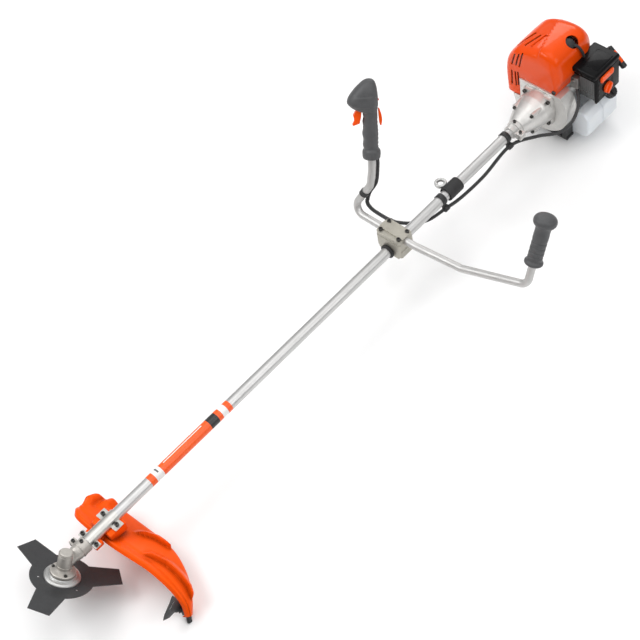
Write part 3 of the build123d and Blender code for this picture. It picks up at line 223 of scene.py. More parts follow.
def scratches(mat, amount):
    wave = mat.node("ShaderNodeTexWave", wave_type="BANDS", bands_direction="DIAGONAL")
    wave.inputs["Scale"].default_value = 90
    wave.inputs["Distortion"].default_value = 22
    wave.inputs["Detail"].default_value = 5
    mat.link(mat.coords, wave.inputs["Vector"])
    return mat.remap(wave.outputs["Fac"], (0.93, 1.0), (0.0, amount))


def grain_height(mat, kind, scale, stretch):
    if kind == "noise":
        return mat.noise(scale, detail=4.0, rough=0.6)
    if kind == "brush":
        return mat.noise(1.0, detail=4.0, rough=0.6, coords=mat.stretched(stretch))
    if kind == "pebble":
        return mat.math("ADD", mat.math("MULTIPLY", mat.voronoi(scale), 0.7),
                        mat.math("MULTIPLY", mat.noise(scale * 2.2), 0.3))
    # cast: coarse lumps under a fine grain
    coarse = mat.math("MULTIPLY", mat.noise(scale * 0.25, detail=5.0, rough=0.6), 0.6)
    return mat.math("ADD", coarse, mat.math("MULTIPLY", mat.noise(scale, detail=3.0), 0.4))


def surface(name, col, rough, metal, patch, patch_scale, grain, grain_scale, kind="noise",
            rough_var=0.12, edge=0.0, edge_col=None, edge_r=0.0008, grime=0.0,
            grime_col=(0.10, 0.085, 0.07), coat=0.0, coat_rough=0.08, bevel=0.0007, stretch=None,
            stretch_amt=0.0, spec=0.5, sss=0.0, trans=0.0, scratch=0.0, fold=0.0):
    """Patchy colour and gloss, then optional wear and painted shade in creases, over a fine bump.
    """
    mat = Shader(name)
    broad = mat.noise(patch_scale, detail=4.0, rough=0.6)
    fine = mat.noise(patch_scale * 9, detail=3.0, rough=0.6)
    patches = mat.math("ADD", mat.math("MULTIPLY", broad, 0.65), mat.math("MULTIPLY", fine, 0.35))
    colour = mat.mix(mat.remap(patches, (0.3, 0.7)),
                     shade(col, 1 - patch), shade(col, 1 + patch * 0.7))
    gloss = mat.remap(mat.noise(patch_scale * 2.3, detail=5.0, rough=0.65), (0.25, 0.75),
                      (max(0.02, rough - rough_var), min(1.0, rough + rough_var)))
    if stretch:
        streaks = mat.noise(1.0, detail=4.0, rough=0.65, coords=mat.stretched(stretch))
        colour = mat.mix(mat.remap(streaks, (0.3, 0.7), (0, stretch_amt)),
                         colour, shade(col, 0.62))
        swing = stretch_amt * 0.25
        gloss = mat.math("ADD", gloss, mat.remap(streaks, (0.2, 0.8), (-swing, swing)))
    if grime > 0:
        dirt = mat.remap(mat.noise(patch_scale * 1.4, detail=8.0, rough=0.7, distort=0.6),
                         (0.52, 0.80), (0.0, grime))
        colour = mat.mix(dirt, colour, grime_col)
        gloss = mat.math("ADD", gloss, mat.math("MULTIPLY", dirt, 0.35))
    if edge > 0:
        worn = mat.math("MULTIPLY", mat.edge_mask(edge_r),
                        mat.remap(mat.noise(220, detail=5.0, rough=0.7), (0.35, 0.62)))
        colour = mat.mix(mat.math("MULTIPLY", worn, edge), colour, edge_col or shade(col, 1.5))
    if scratch > 0:
        lines = scratches(mat, scratch)
        colour = mat.mix(lines, colour, shade(col, 1.6))
        gloss = mat.math("SUBTRACT", gloss, mat.math("MULTIPLY", lines, 0.2))
    if fold > 0:
        # painted shade: the base colour is darkened by ambient occlusion in creases and at the feet
        # of ridges, where less light reaches
        crease_ao = mat.node("ShaderNodeAmbientOcclusion", samples=6, only_local=True)
        crease_ao.inputs["Distance"].default_value = 0.016
        colour = mat.mix(mat.remap(crease_ao.outputs["AO"], (0.96, 0.62), (0.0, fold)),
                         colour, shade(col, 0.34))
    mat.feed(mat.inputs["Base Color"], colour)
    mat.feed(mat.inputs["Roughness"],
             mat.math("MINIMUM", mat.math("MAXIMUM", gloss, 0.03), 1.0))
    mat.inputs["Metallic"].default_value = metal
    mat.inputs["Specular IOR Level"].default_value = spec
    if col[0] > 3 * max(col[2], 0.02) and metal < 0.1:
        # a coloured plastic throws back its own tint rather than white
        mat.inputs["Specular Tint"].default_value = (1.0, 0.42, 0.16, 1)
    mat.inputs["Coat Weight"].default_value = coat
    mat.inputs["Coat Roughness"].default_value = coat_rough
    if sss > 0:
        mat.inputs["Subsurface Weight"].default_value = sss
        mat.inputs["Subsurface Radius"].default_value = (0.012, 0.011, 0.010)
        mat.inputs["Subsurface Scale"].default_value = 0.6
    if trans > 0:
        mat.inputs["Transmission Weight"].default_value = trans
        mat.inputs["IOR"].default_value = 1.35
    rounded = mat.soft_edge(bevel) if bevel > 0 else None
    height = grain_height(mat, kind, grain_scale, stretch)
    normal = mat.bump(height, grain, distance=0.0003, normal=rounded)
    mat.link(normal, mat.inputs["Normal"])
    if coat > 0:
        # the clear top layer is smoother than the body beneath it
        ripple = mat.noise(140, detail=2.0, rough=0.5)
        coat_normal = mat.bump(ripple, 0.05, normal=mat.soft_edge(max(bevel, 0.0006)))
        mat.link(coat_normal, mat.inputs["Coat Normal"])
    return mat.material


# Columns: name, colour, roughness, metallic, patch contrast, patch scale, grain strength,
# grain scale, grain kind, roughness swing; then wear and other options by name.
SURFACES = [
    ("cast_grey", (0.50, 0.475, 0.44), 0.46, 0.75, 0.10, 45, 0.55, 1500, "cast", 0.12,
     dict(edge=0.25, edge_col=(0.8, 0.79, 0.76), grime=0.10)),
    ("cast_olive", (0.44, 0.42, 0.365), 0.46, 0.65, 0.10, 45, 0.5, 1300, "cast", 0.12,
     dict(edge=0.3, edge_col=(0.72, 0.71, 0.68), grime=0.15)),
    ("cast_silver", (0.66, 0.65, 0.63), 0.42, 0.75, 0.09, 40, 0.5, 1400, "cast", 0.12,
     dict(edge=0.3, edge_col=(0.9, 0.9, 0.88), grime=0.10)),
    ("steel", (0.56, 0.56, 0.55), 0.42, 1.0, 0.06, 60, 0.03, 700, "noise", 0.08,
     dict(edge=0.15, edge_col=(0.9, 0.9, 0.9), grime=0.06)),
    ("blade_steel", (0.040, 0.041, 0.043), 0.42, 0.25, 0.16, 26, 0.16, 900, "cast", 0.12,
     dict(edge=0.6, edge_col=(0.30, 0.30, 0.30), edge_r=0.0012, grime=0.18,
          grime_col=(0.07, 0.045, 0.035), scratch=0.15, spec=0.4)),
    ("zinc", (0.62, 0.61, 0.58), 0.36, 1.0, 0.10, 35, 0.03, 500, "noise", 0.10,
     dict(edge=0.3, edge_col=(0.95, 0.95, 0.93), grime=0.08)),
    ("tube_alu", (0.62, 0.617, 0.61), 0.40, 0.9, 0.05, 20, 0.10, 1400, "brush", 0.07,
     dict(stretch=(900, 5, 900), stretch_amt=0.20)),
    # the guard's base colour is darkened as painted shade in creases and at the feet of its leaf
    # ridges
    ("guard_orange", (0.93, 0.088, 0.002), 0.38, 0.0, 0.07, 16, 0.10, 1300, "pebble", 0.10,
     dict(edge=0.30, edge_col=(1.0, 0.22, 0.06), coat=0.06, coat_rough=0.2, spec=0.35, fold=0.85)),
    ("cover_orange", (0.80, 0.066, 0.0012), 0.34, 0.0, 0.05, 14, 0.05, 700, "noise", 0.08,
     dict(edge=0.20, edge_col=(1.0, 0.22, 0.05), coat=0.28, coat_rough=0.04, spec=0.3)),
    ("trigger_orange", (0.93, 0.085, 0.004), 0.38, 0.0, 0.06, 40, 0.14, 1700, "pebble", 0.08,
     dict(edge=0.3, edge_col=(1.0, 0.4, 0.2), coat=0.2, coat_rough=0.2)),
    ("black_plastic", (0.016, 0.016, 0.017), 0.44, 0.0, 0.25, 40, 0.25, 1500, "pebble", 0.10,
     dict(edge=0.5, edge_col=(0.11, 0.11, 0.11), grime=0.12)),
    ("gloss_black", (0.004, 0.004, 0.0045), 0.30, 0.0, 0.25, 30, 0.04, 900, "noise", 0.06,
     dict(edge=0.12, edge_col=(0.03, 0.03, 0.03), coat=0.10, coat_rough=0.02, spec=0.07)),
    ("grey_plastic", (0.105, 0.108, 0.108), 0.46, 0.0, 0.15, 40, 0.25, 1300, "pebble", 0.10,
     dict(edge=0.4, edge_col=(0.25, 0.25, 0.25), grime=0.10)),
    ("dark_grip", (0.072, 0.073, 0.076), 0.50, 0.0, 0.18, 50, 0.42, 1150, "pebble", 0.10,
     dict(edge=0.4, edge_col=(0.12, 0.12, 0.12), grime=0.10)),
    ("rubber", (0.020, 0.020, 0.021), 0.66, 0.0, 0.20, 60, 0.30, 1500, "noise", 0.10,
     dict(edge=0.35, edge_col=(0.08, 0.08, 0.08), grime=0.18)),
    ("tank_white", (0.84, 0.88, 0.92), 0.38, 0.0, 0.03, 12, 0.12, 700, "noise", 0.08,
     dict(sss=0.35, coat=0.2, coat_rough=0.25, trans=0.12)),
    ("bolt_dark", (0.075, 0.073, 0.070), 0.34, 0.85, 0.20, 120, 0.2, 2400, "noise", 0.10,
     dict(edge=0.6, edge_col=(0.4, 0.4, 0.38), edge_r=0.0005, bevel=0.0004)),
    ("red_plastic", (0.62, 0.02, 0.012), 0.32, 0.0, 0.06, 60, 0.10, 1500, "pebble", 0.08,
     dict(edge=0.3, edge_col=(0.9, 0.2, 0.15), coat=0.3)),
    ("iron", (0.23, 0.22, 0.21), 0.5, 0.8, 0.15, 60, 0.5, 1200, "cast", 0.12, dict(edge=0.3)),
    ("bushing", (0.72, 0.66, 0.50), 0.5, 0.0, 0.06, 50, 0.2, 1500, "noise", 0.12, {}),
    ("bar_metal", (0.57, 0.565, 0.555), 0.50, 0.9, 0.06, 25, 0.10, 1500, "noise", 0.08,
     dict(grime=0.05)),
    ("silencer", (0.10, 0.098, 0.095), 0.55, 0.6, 0.20, 40, 0.4, 1200, "cast", 0.12,
     dict(edge=0.3, edge_col=(0.3, 0.28, 0.26), grime=0.25)),
    ("cable", (0.030, 0.030, 0.032), 0.42, 0.0, 0.20, 80, 0.10, 1800, "noise", 0.08,
     dict(edge=0.3, edge_col=(0.12, 0.12, 0.12), bevel=0.0)),
]
MATERIALS = {row[0]: surface(*row[:-1], **row[-1]) for row in SURFACES}


# ---------------------------------------------------------------------------
# Mesh helpers. Options passed on as **finish are those of new_obj; a piece without a body is mostly
# a part that is joined or used as a cutter and then removed, while the free loom and the floor stay
# without one.
# ---------------------------------------------------------------------------
def register(obj, body, stands_for=None):
    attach(obj, body)
    if stands_for:
        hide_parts(stands_for)


def new_obj(bm, name="part", mat="black_plastic", body=None, stands_for=None, smooth=True,
            sharp=None):
    bmesh.ops.recalc_face_normals(bm, faces=bm.faces)
    if all(e.is_manifold for e in bm.edges) and bm.calc_volume(signed=True) < 0:
        bmesh.ops.reverse_faces(bm, faces=bm.faces)
    mesh = bpy.data.meshes.new(name)
    bm.to_mesh(mesh)
    bm.free()
    obj = bpy.data.objects.new(name, mesh)
    bpy.context.scene.collection.objects.link(obj)
    mesh.materials.append(MATERIALS[mat])
    if smooth:
        mesh.shade_smooth()
        if sharp:
            mesh.set_sharp_from_angle(angle=radians(sharp))
    if body:
        register(obj, body, stands_for)
    return obj


def discard(obj):
    mesh = obj.data
    bpy.data.objects.remove(obj)
    bpy.data.meshes.remove(mesh)


def apply_mods(obj):
    graph = bpy.context.evaluated_depsgraph_get()
    mesh = bpy.data.meshes.new_from_object(obj.evaluated_get(graph), depsgraph=graph)
    materials = [slot.material for slot in obj.material_slots]
    obj.modifiers.clear()
    old = obj.data
    obj.data = mesh
    bpy.data.meshes.remove(old)
    if not mesh.materials:
        for material in materials:
            mesh.materials.append(material)


def grid_bm(rows, close=True, caps=True):
    """Quads through rows of points, closed round each row and capped at both ends."""
    bm = bmesh.new()
    verts = [[bm.verts.new(Vector(p) * MM) for p in row] for row in rows]
    count = len(rows[0])
    for low, high in zip(verts[:-1], verts[1:]):
        for i in range(count if close else count - 1):
            j = (i + 1) % count
            bm.faces.new((low[i], low[j], high[j], high[i]))
    if caps:
        bm.faces.new(list(reversed(verts[0])))
        bm.faces.new(verts[-1])
    return bm


def catmull(points, count):
    """Samples of a Catmull-Rom curve through the points, spaced by knot."""
    knots = [np.asarray(p, float) for p in points]
    spans = len(knots) - 1
    out = []
    for k in range(count):
        t = k * spans / (count - 1)
        i = min(int(t), spans - 1)
        f = t - i
        a, b, c, d = knots[max(i - 1, 0)], knots[i], knots[i + 1], knots[min(i + 2, spans)]
        out.append(0.5 * ((2 * b) + (c - a) * f + (2 * a - 5 * b + 4 * c - d) * f * f
                          + (3 * b - a - 3 * c + d) * f ** 3))
    return out


def even(line, step=None, count=None):
    """Resample a polyline at even spacing."""
    lengths = [0.0]
    for a, b in zip(line[:-1], line[1:]):
        lengths.append(lengths[-1] + np.linalg.norm(b - a))
    if count is None:
        count = max(2, int(lengths[-1] / step) + 1)
    out = []
    j = 0
    for k in range(count):
        s = lengths[-1] * k / (count - 1)
        while j < len(lengths) - 2 and lengths[j + 1] < s:
            j += 1
        f = (s - lengths[j]) / max(lengths[j + 1] - lengths[j], 1e-9)
        out.append(line[j] * (1 - f) + line[j + 1] * f)
    return out


def rounded_poly(points, radius, segments=6):
    """Closed 2D polygon with rounded corners; radius is a number or one per corner."""
    out = []
    count = len(points)
    for i in range(count):
        before, corner, after = [np.array(points[k % count], float) for k in (i - 1, i, i + 1)]
        corner_r = radius[i] if isinstance(radius, list) else radius
        a, b = unit(before - corner), unit(after - corner)
        angle = math.acos(max(-1, min(1, float(a @ b))))
        if angle > 3.1:
            out.append(corner)
            continue
        trim = min(corner_r / math.tan(angle / 2), 0.47 * np.linalg.norm(before - corner),
                   0.47 * np.linalg.norm(after - corner))
        start, end = corner + a * trim, corner + b * trim
        for k in range(segments + 1):
            f = k / segments
            out.append((1 - f) ** 2 * start + 2 * f * (1 - f) * corner + f * f * end)
    return out


def inset(poly, distance):
    """Closed 2D polygon moved inwards along its vertex normals."""
    pts = [np.asarray(p, float) for p in poly]
    count = len(pts)
    area = sum(pts[i - 1][0] * pts[i][1] - pts[i][0] * pts[i - 1][1] for i in range(count))
    side = 1.0 if area > 0 else -1.0
    out = []
    for i in range(count):
        t = unit(pts[(i + 1) % count] - pts[i - 1])
        out.append(pts[i] + side * distance * np.array([-t[1], t[0]]))
    return out


def soft_extrude(poly, place, start, end, radius, segments=4, **finish):
    """Extruded outline with rounded rims; place(x, y, depth) gives each point."""
    rows = []
    for k in range(segments + 1):
        a = pi / 2 * (1 - k / segments)
        rows.append([place(p[0], p[1], start + radius * (1 - sin(a)))
                     for p in inset(poly, radius * (1 - cos(a)))])
    for k in range(segments + 1):
        a = pi / 2 * k / segments
        rows.append([place(p[0], p[1], end - radius * (1 - sin(a)))
                     for p in inset(poly, radius * (1 - cos(a)))])
    return new_obj(grid_bm(rows), **finish)


def corrugated(controls, radius, pitch=3.4, depth=0.7, mat="cable", **finish):
    """Ribbed tube swept along a curve through the controls."""
    path = even(catmull(controls, 40 * len(controls)), step=pitch / 5)
    sides = 14
    last = len(path) - 1
    tangents = [unit(path[min(i + 1, last)] - path[max(i - 1, 0)]) for i in range(last + 1)]
    normal = unit(np.cross(tangents[0], [0.31, 0.17, 0.93]))
    rows = []
    s = 0.0
    for i, (centre, tangent) in enumerate(zip(path, tangents)):
        normal = unit(normal - tangent * (normal @ tangent))
        across = np.cross(tangent, normal)
        if i:
            s += np.linalg.norm(centre - path[i - 1])
        wave = cos(2 * pi * ((s / pitch) % 1.0))
        r = radius - depth * (0.5 + 0.5 * math.tanh(5 * wave + 0.6))
        rows.append([centre + normal * r * cos(2 * pi * k / sides)
                     + across * r * sin(2 * pi * k / sides) for k in range(sides)])
    return new_obj(grid_bm(rows), mat=mat, **finish)


def revolve(origin, axis, profile, count=64, loop=False, **finish):
    """Turned profile of (along, radius) points; loop joins its last point to its first."""
    axis = unit(axis)
    a = unit(np.cross(axis, Z if abs(axis[2]) < 0.9 else X))
    b = np.cross(axis, a)
    bm = bmesh.new()
    rings = []
    for z, r in profile:
        if r < 1e-6:
            ring = [origin + axis * z]
        else:
            ring = [origin + axis * z + a * r * cos(2 * pi * k / count)
                    + b * r * sin(2 * pi * k / count) for k in range(count)]
        rings.append([bm.verts.new(Vector(p) * MM) for p in ring])
    pairs = list(zip(rings[:-1], rings[1:]))
    if loop:
        pairs.append((rings[-1], rings[0]))
    for p, q in pairs:
        for k in range(count):
            j = (k + 1) % count
            if len(p) == 1:
                bm.faces.new((p[0], q[j], q[k]))
            elif len(q) == 1:
                bm.faces.new((p[k], p[j], q[0]))
            else:
                bm.faces.new((p[k], p[j], q[j], q[k]))
    if not loop:
        if len(rings[0]) > 1:
            bm.faces.new(list(reversed(rings[0])))
        if len(rings[-1]) > 1:
            bm.faces.new(rings[-1])
    return new_obj(bm, **finish)


def cylinder(origin, axis, radius, start, end, count):
    return revolve(origin, axis, [(start, radius), (end, radius)], count)


def collar(origin, axis, length, inner, outer, ease_along, ease_in, count=64, **finish):
    """Ring with eased outer rims."""
    profile = [(0, inner), (0, outer - ease_in), (ease_along, outer),
               (length - ease_along, outer), (length, outer - ease_in), (length, inner)]
    return revolve(origin, axis, profile, count, loop=True, **finish)


def knurled(origin, axis, profile, flutes, depth, **finish):
    """Turned body with flutes; profile rows are along, radius, share of flute depth."""
    count = 192
    a = unit(np.cross(axis, Y))
    b = np.cross(axis, a)
    rows = []
    for z, radius, share in profile:
        row = []
        for k in range(count):
            t = 2 * pi * k / count
            crest = 0.5 + 0.5 * math.tanh(3.2 * cos(flutes * t))
            r = radius - depth * share * (1 - crest)
            row.append(origin + axis * z + a * r * cos(t) + b * r * sin(t))
        rows.append(row)
    return new_obj(grid_bm(rows), **finish)


def block(centre, size, axes, radius, segments=4, **finish):
    """Rounded block; axes are its three directions."""
    a, b, c = axes
    half_a, half_b, half_c = [s / 2 for s in size]
    bm = bmesh.new()
    bmesh.ops.create_cube(bm, size=2.0)
    for v in bm.verts:
        x, y, z = v.co
        v.co = Vector(np.asarray(centre, float) + a * x * half_a + b * y * half_b
                      + c * z * half_c) * MM
    bmesh.ops.bevel(bm, geom=list(bm.edges), offset=radius * MM, segments=segments, profile=0.5,
                    affect="EDGES", clamp_overlap=True)
    return new_obj(bm, **finish)


def cut(obj, cutters):
    """Boolean difference with closed objects, which are then removed."""
    for cutter in cutters:
        # the exact solver can return next to nothing, and then the fast one takes over
        for solver in ("EXACT", "FAST"):
            mod = obj.modifiers.new("cut", "BOOLEAN")
            mod.operation = "DIFFERENCE"
            mod.solver = solver
            mod.object = cutter
            bpy.context.view_layer.update()
            graph = bpy.context.evaluated_depsgraph_get()
            if len(obj.evaluated_get(graph).data.vertices) > 0.5 * len(obj.data.vertices):
                apply_mods(obj)
                break
            obj.modifiers.clear()
    for cutter in cutters:
        discard(cutter)


def join(parts, **finish):
    bm = bmesh.new()
    for part in parts:
        bm.from_mesh(part.data)
        discard(part)
    return new_obj(bm, **finish)


def thicken(obj, thickness):
    mod = obj.modifiers.new("wall", "SOLIDIFY")
    mod.thickness = thickness * MM
    mod.offset = -1.0
    mod.use_even_offset = False
    apply_mods(obj)


def smoothstep(x, low, high):
    t = max(0.0, min(1.0, (x - low) / (high - low)))
    return t * t * (3 - 2 * t)


def bell(x, centre, width):
    return math.exp(-((x - centre) / width) ** 2)


# ---------------------------------------------------------------------------
# CAD pieces that stay take a finish only
# ---------------------------------------------------------------------------
FINISHES = {
    "cast_grey": "gear_case",
    "cast_olive": "handle_clamp_base handle_clamp_lower handle_clamp_cap",
    "cast_silver": "clutch_housing flywheel fan_housing crankcase piston cylinder carburettor",
    "steel": "driven_gear pinion_gear output_shaft ball_bearings blade_adapter nut_cup blade_nut "
             "drive_shaft clutch_drum crankshaft connecting_rod spark_plug throttle_lever",
    "blade_steel": "cutting_blade",
    "zinc": "guard_bracket",
    "tube_alu": "shaft_tube",
    "bushing": "shaft_bushings",
    "bar_metal": "handlebar",
    "iron": "harness_bracket clutch_shoes",
    "silencer": "muffler",
    "bolt_dark": "grip_screws socket_bolts",
    "guard_orange": "guard",
    "cover_orange": "engine_cover",
    "trigger_orange": "throttle_trigger lockout_lever filter_knob choke_lever",
    "red_plastic": "stop_switch",
    "black_plastic": "guard_extension line_knife fuel_cap starter_housing starter_pulley "
                     "starter_handle engine_stand",
    "gloss_black": "air_filter_cover",
    "grey_plastic": "air_filter_base",
    "dark_grip": "throttle_grip_left throttle_grip_right left_grip",
    "rubber": "clamp_ring harness_sleeve plug_boot primer_bulb",
    "tank_white": "fuel_tank",
    "cable": "bar_cable shaft_cable",
}
finish_of = {node: mat for mat, nodes in FINISHES.items() for node in nodes.split()}
for node_name, cad_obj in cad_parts.items():
    cad_obj.data.materials.clear()
    cad_obj.data.materials.append(MATERIALS[finish_of[node_name]])

# ---------------------------------------------------------------------------
# Guard: one moulded crescent with a turned-down lip, two raised leaves and an upturned end
# ---------------------------------------------------------------------------
# Columns in the blade's frame: x, height, front edge, rear edge, depth of the rear lip
GUARD = [(-99, 34, 112, 166, 16), (-90, 37, 104, 181, 22), (-70, 38, 97, 194, 26),
         (-32, 38, 95, 197, 28), (34, 38, 97, 199, 28), (80, 37, 103, 200, 28),
         (126, 33, 113, 198, 28), (170, 23, 121, 187, 26), (204, 6, 130, 175, 24),
         (226, -14, 137, 164, 20), (240, -38, 141, 156, 14)]
GUARD_STATIONS = catmull(GUARD, 150)
GUARD_WALL = 2.8
GUARD_SAMPLES = 84         # points across the top
# Ridge lines of the two leaves: x, distance rearwards
LEAVES = [[(30, 152), (75, 181), (131, 194), (160, 190)],
          [(88, 122), (143, 147), (203, 158), (228, 156)]]
GUARD_RIBS = [(-60, 10), (60, 10), (110, 9), (155, 8)]     # x, height


def slope(start, end):
    """Tangent between two stations, and the normal of the sheet there."""
    tangent = unit(X * (end[0] - start[0]) + BLADE_UP * (end[1] - start[1]))
    return tangent, unit(np.cross(tangent, BLADE_REAR))


def station_frame(stations, i):
    last = len(stations) - 1
    x, height = stations[i][:2]
    return head(x, 0, height), *slope(stations[max(i - 1, 0)], stations[min(i + 1, last)])


def leaf(x, rear, ridge, rise=11.0, fall=24):
    """Saw-tooth ridge: steps up at the line, falls away behind it."""
    line_x = [p[0] for p in ridge]
    if x < line_x[0] or x > line_x[-1]:
        return 0.0
    fade = (smoothstep(x, line_x[0], line_x[0] + 26)
            * (1 - smoothstep(x, line_x[-1] - 14, line_x[-1])))
    d = rear - float(np.interp(x, line_x, [p[1] for p in ridge]))
    return rise * fade * smoothstep(d, -0.7, 0.7) * (1 - smoothstep(d, 2.5, fall))


def guard_profile(x, front, rear, lip):
    """(rearwards, normal) points from the front lip over the top to the rear lip."""
    # upturned end, and the arch and dip beside the bracket
    tip, arch, dip = 16 * bell(x, -94, 10), 13 * bell(x, -66, 17), 6 * bell(x, -82, 9)
    edge = tip + arch - dip
    profile = [(front - 2.5, -10.0), (front - 1.5, -6.0), (front - 0.6, -2.6),
               (front + 0.9, -0.7), (front + 3.2, 0.0)]
    for k in range(GUARD_SAMPLES):
        f = (k + 1) / (GUARD_SAMPLES + 1)
        v = (front + 3.2) * (1 - f) + (rear - 8) * f
        n = 1.8 * sin(pi * f) + sum(leaf(x, v, ridge) for ridge in LEAVES)
        n -= 1.3 * bell(f, 0.16, 0.07)      # shallow dish along the front
        n += tip * smoothstep(f, 0.34, 0.72) + arch * smoothstep(f, 0.55, 0.85)
        n -= dip * smoothstep(f, 0.35, 0.8)
        profile.append((v, n))
    profile += [(rear - 5.2, -0.5 + edge * 0.95), (rear - 2.6, -1.8 + edge * 0.85),
                (rear - 1.0, -4.2 + edge * 0.7), (rear - 0.1, -8 + edge * 0.5)]
    for k in range(1, 6):
        f = k / 5
        profile.append((rear + 4 * f, -8 + (8 - lip) * f + edge * 0.5 * (1 - f)))
    return profile


def end_wall(row, inner_row, sign, drop):
    """Two rows that turn an end of the guard down."""
    out = unit(row[20] - inner_row[20])
    down = -unit(np.cross(sign * out, BLADE_REAR))
    return [[p + out * 1.2 + down * 2.0 for p in row], [p + out * 1.6 + down * drop for p in row]]


def guard_shell():
    rows = []
    for i, (x, height, front, rear, lip) in enumerate(GUARD_STATIONS):
        base, tangent, normal = station_frame(GUARD_STATIONS, i)
        rows.append([base + BLADE_REAR * v + normal * n
                     for v, n in guard_profile(x, front, rear, lip)])
    near = end_wall(rows[0], rows[1], -1, 8)
    far = end_wall(rows[-1], rows[-2], 1, 7)
    shell = new_obj(grid_bm([near[1], near[0]] + rows + far, close=False, caps=False))
    if sum(f.normal.dot(Vector(BLADE_UP)) for f in shell.data.polygons) < 0:
        shell.data.flip_normals()
    thicken(shell, GUARD_WALL)
    return shell


def guard_saddle():
    """Blocks under the shaft, hollowed for the tube and the end of the gear head."""
    saddle = join([block(point(0, 129, -14.0), (60, 46, 25), AXES, 2.2),
                   block(point(0, 79, -7.2), (50, 22, 12.4), AXES, 2.2),
                   block(point(0, 100, -16.8), (22, 50, 6), AXES, 1.5)])
    cut(saddle, [cylinder(point(0, 40, 0), Y, 13.05, 0, 130, 48),
                 cylinder(point(0, 40, 0), Y, 18.4, 0, 26, 48)])
    return saddle


def guard_rib(rib_x, rib_height):
    stations = GUARD_STATIONS
    i = min(range(len(stations)), key=lambda k: abs(stations[k][0] - rib_x))
    front, rear = stations[i][2:4]
    base, tangent, normal = station_frame(stations, i)
    centre = base + BLADE_REAR * ((front + rear) / 2) - normal * (2.6 + rib_height / 2)
    return block(centre, (1.8, rear - front - 9, rib_height), (tangent, BLADE_REAR, normal),
                 0.6, 2)


shell = guard_shell()
join([guard_saddle(), shell] + [guard_rib(*rib) for rib in GUARD_RIBS], name="guard_body",
     mat="guard_orange", body="frame", stands_for="guard", sharp=48)

# Extension over the far end. Columns: x, height, front edge, rear edge
EXTENSION = [(150, 20.5, 126, 178), (176, 9.5, 131, 172), (200, -9, 139, 162),
             (216, -27, 143, 156), (226, -50, 143, 152)]
EXTENSION_DEPTH = 3.2


def guard_extension():
    count = 60
    stations = catmull(EXTENSION, count)
    rows = []
    for i, (x, height, front, rear) in enumerate(stations):
        base, tangent, normal = station_frame(stations, i)
        narrow = 4.0 * smoothstep(i / (count - 1), 0.9, 1.0)
        front, rear = front + narrow, rear - narrow
        profile = [(front, -EXTENSION_DEPTH), (front - 0.2, -1.6), (front + 0.3, -0.4),
                   (front + 1.4, 0.0)]
        for k in range(1, 12):
            f = k / 12
            profile.append((front + 1.4 + (rear - front - 2.8) * f,
                            0.9 * bell(f, 0.2, 0.05) + 0.9 * bell(f, 0.8, 0.05)))
        profile += [(rear - 1.4, 0.0), (rear - 0.3, -0.4), (rear + 0.2, -1.6),
                    (rear, -EXTENSION_DEPTH)]
        profile += [(rear - (rear - front) * k / 8, -EXTENSION_DEPTH) for k in range(1, 8)]
        rows.append([base + BLADE_REAR * v + normal * n for v, n in profile])
    new_obj(grid_bm(rows), name="guard_ext", body="frame", stands_for="guard_extension", sharp=50)


guard_extension()


# ---------------------------------------------------------------------------
# Tube label: printed film with plain stripes and bars only
# ---------------------------------------------------------------------------
def label_material():
    mat = Shader("label_film")
    split = mat.node("ShaderNodeSeparateXYZ")
    mat.link(mat.coords, split.inputs[0])
    # distance along the shaft from the blade centre, in mm
    along = mat.math("MULTIPLY_ADD", split.outputs["Y"], 1 / MM, -BLADE_Y)

    def band(start, end):
        return mat.math("MULTIPLY", mat.math("GREATER_THAN", along, start),
                        mat.math("LESS_THAN", along, end))

    angle = mat.math("ARCTAN2", split.outputs["X"], split.outputs["Z"])

    def within(half_angle):
        """Mask about the centre line of the label's face."""
        off_centre = mat.math("ABSOLUTE", mat.math("ADD", angle, 0.25))
        return mat.math("LESS_THAN", off_centre, half_angle)

    colour = mat.mix(mat.remap(mat.noise(25, detail=3.0), (0.3, 0.7)),
                     (0.93, 0.095, 0.005), (0.97, 0.125, 0.010))
    for start, end, ink in ((265, 287, (0.85, 0.85, 0.84)), (470, 486, (0.85, 0.85, 0.84)),
                            (433, 458, (0.02, 0.02, 0.02))):
        colour = mat.mix(band(start, end), colour, ink)
    face = within(0.62)
    # dark bars every 9 mm across the first white band
    phase = mat.math("FRACT", mat.math("MULTIPLY", along, 1 / 9.0))
    bars = mat.math("MULTIPLY", face, mat.math("GREATER_THAN", phase, 0.55))
    colour = mat.mix(mat.math("MULTIPLY", bars, band(270, 283)), colour, (0.10, 0.10, 0.10))
    # pale line along the middle of the face
    stripe = mat.math("MULTIPLY", mat.math("MULTIPLY", face, band(300, 418)), within(0.10))
    colour = mat.mix(stripe, colour, (0.86, 0.86, 0.84))
    specks = mat.remap(mat.noise(900, detail=3.0), (0.62, 0.75))
    colour = mat.mix(mat.math("MULTIPLY", specks, 0.3), colour, (0.5, 0.45, 0.42))
    mat.feed(mat.inputs["Base Color"], colour)
    mat.feed(mat.inputs["Roughness"],
             mat.remap(mat.noise(60, detail=3.0), (0.3, 0.7), (0.24, 0.38)))
    mat.link(mat.bump(mat.noise(300, detail=3.0), 0.08), mat.inputs["Normal"])
    return mat.material


MATERIALS["label_film"] = label_material()
LABEL_PROFILE = [(0, 13.02), (0, 13.10), (0.3, 13.16), (62, 13.17), (124, 13.16), (186, 13.17),
                 (248.7, 13.16), (249, 13.10), (249, 13.02)]
revolve(point(0, 250, 0), Y, LABEL_PROFILE, 72, loop=True, name="tube_label", mat="label_film",
        body="frame", sharp=40)

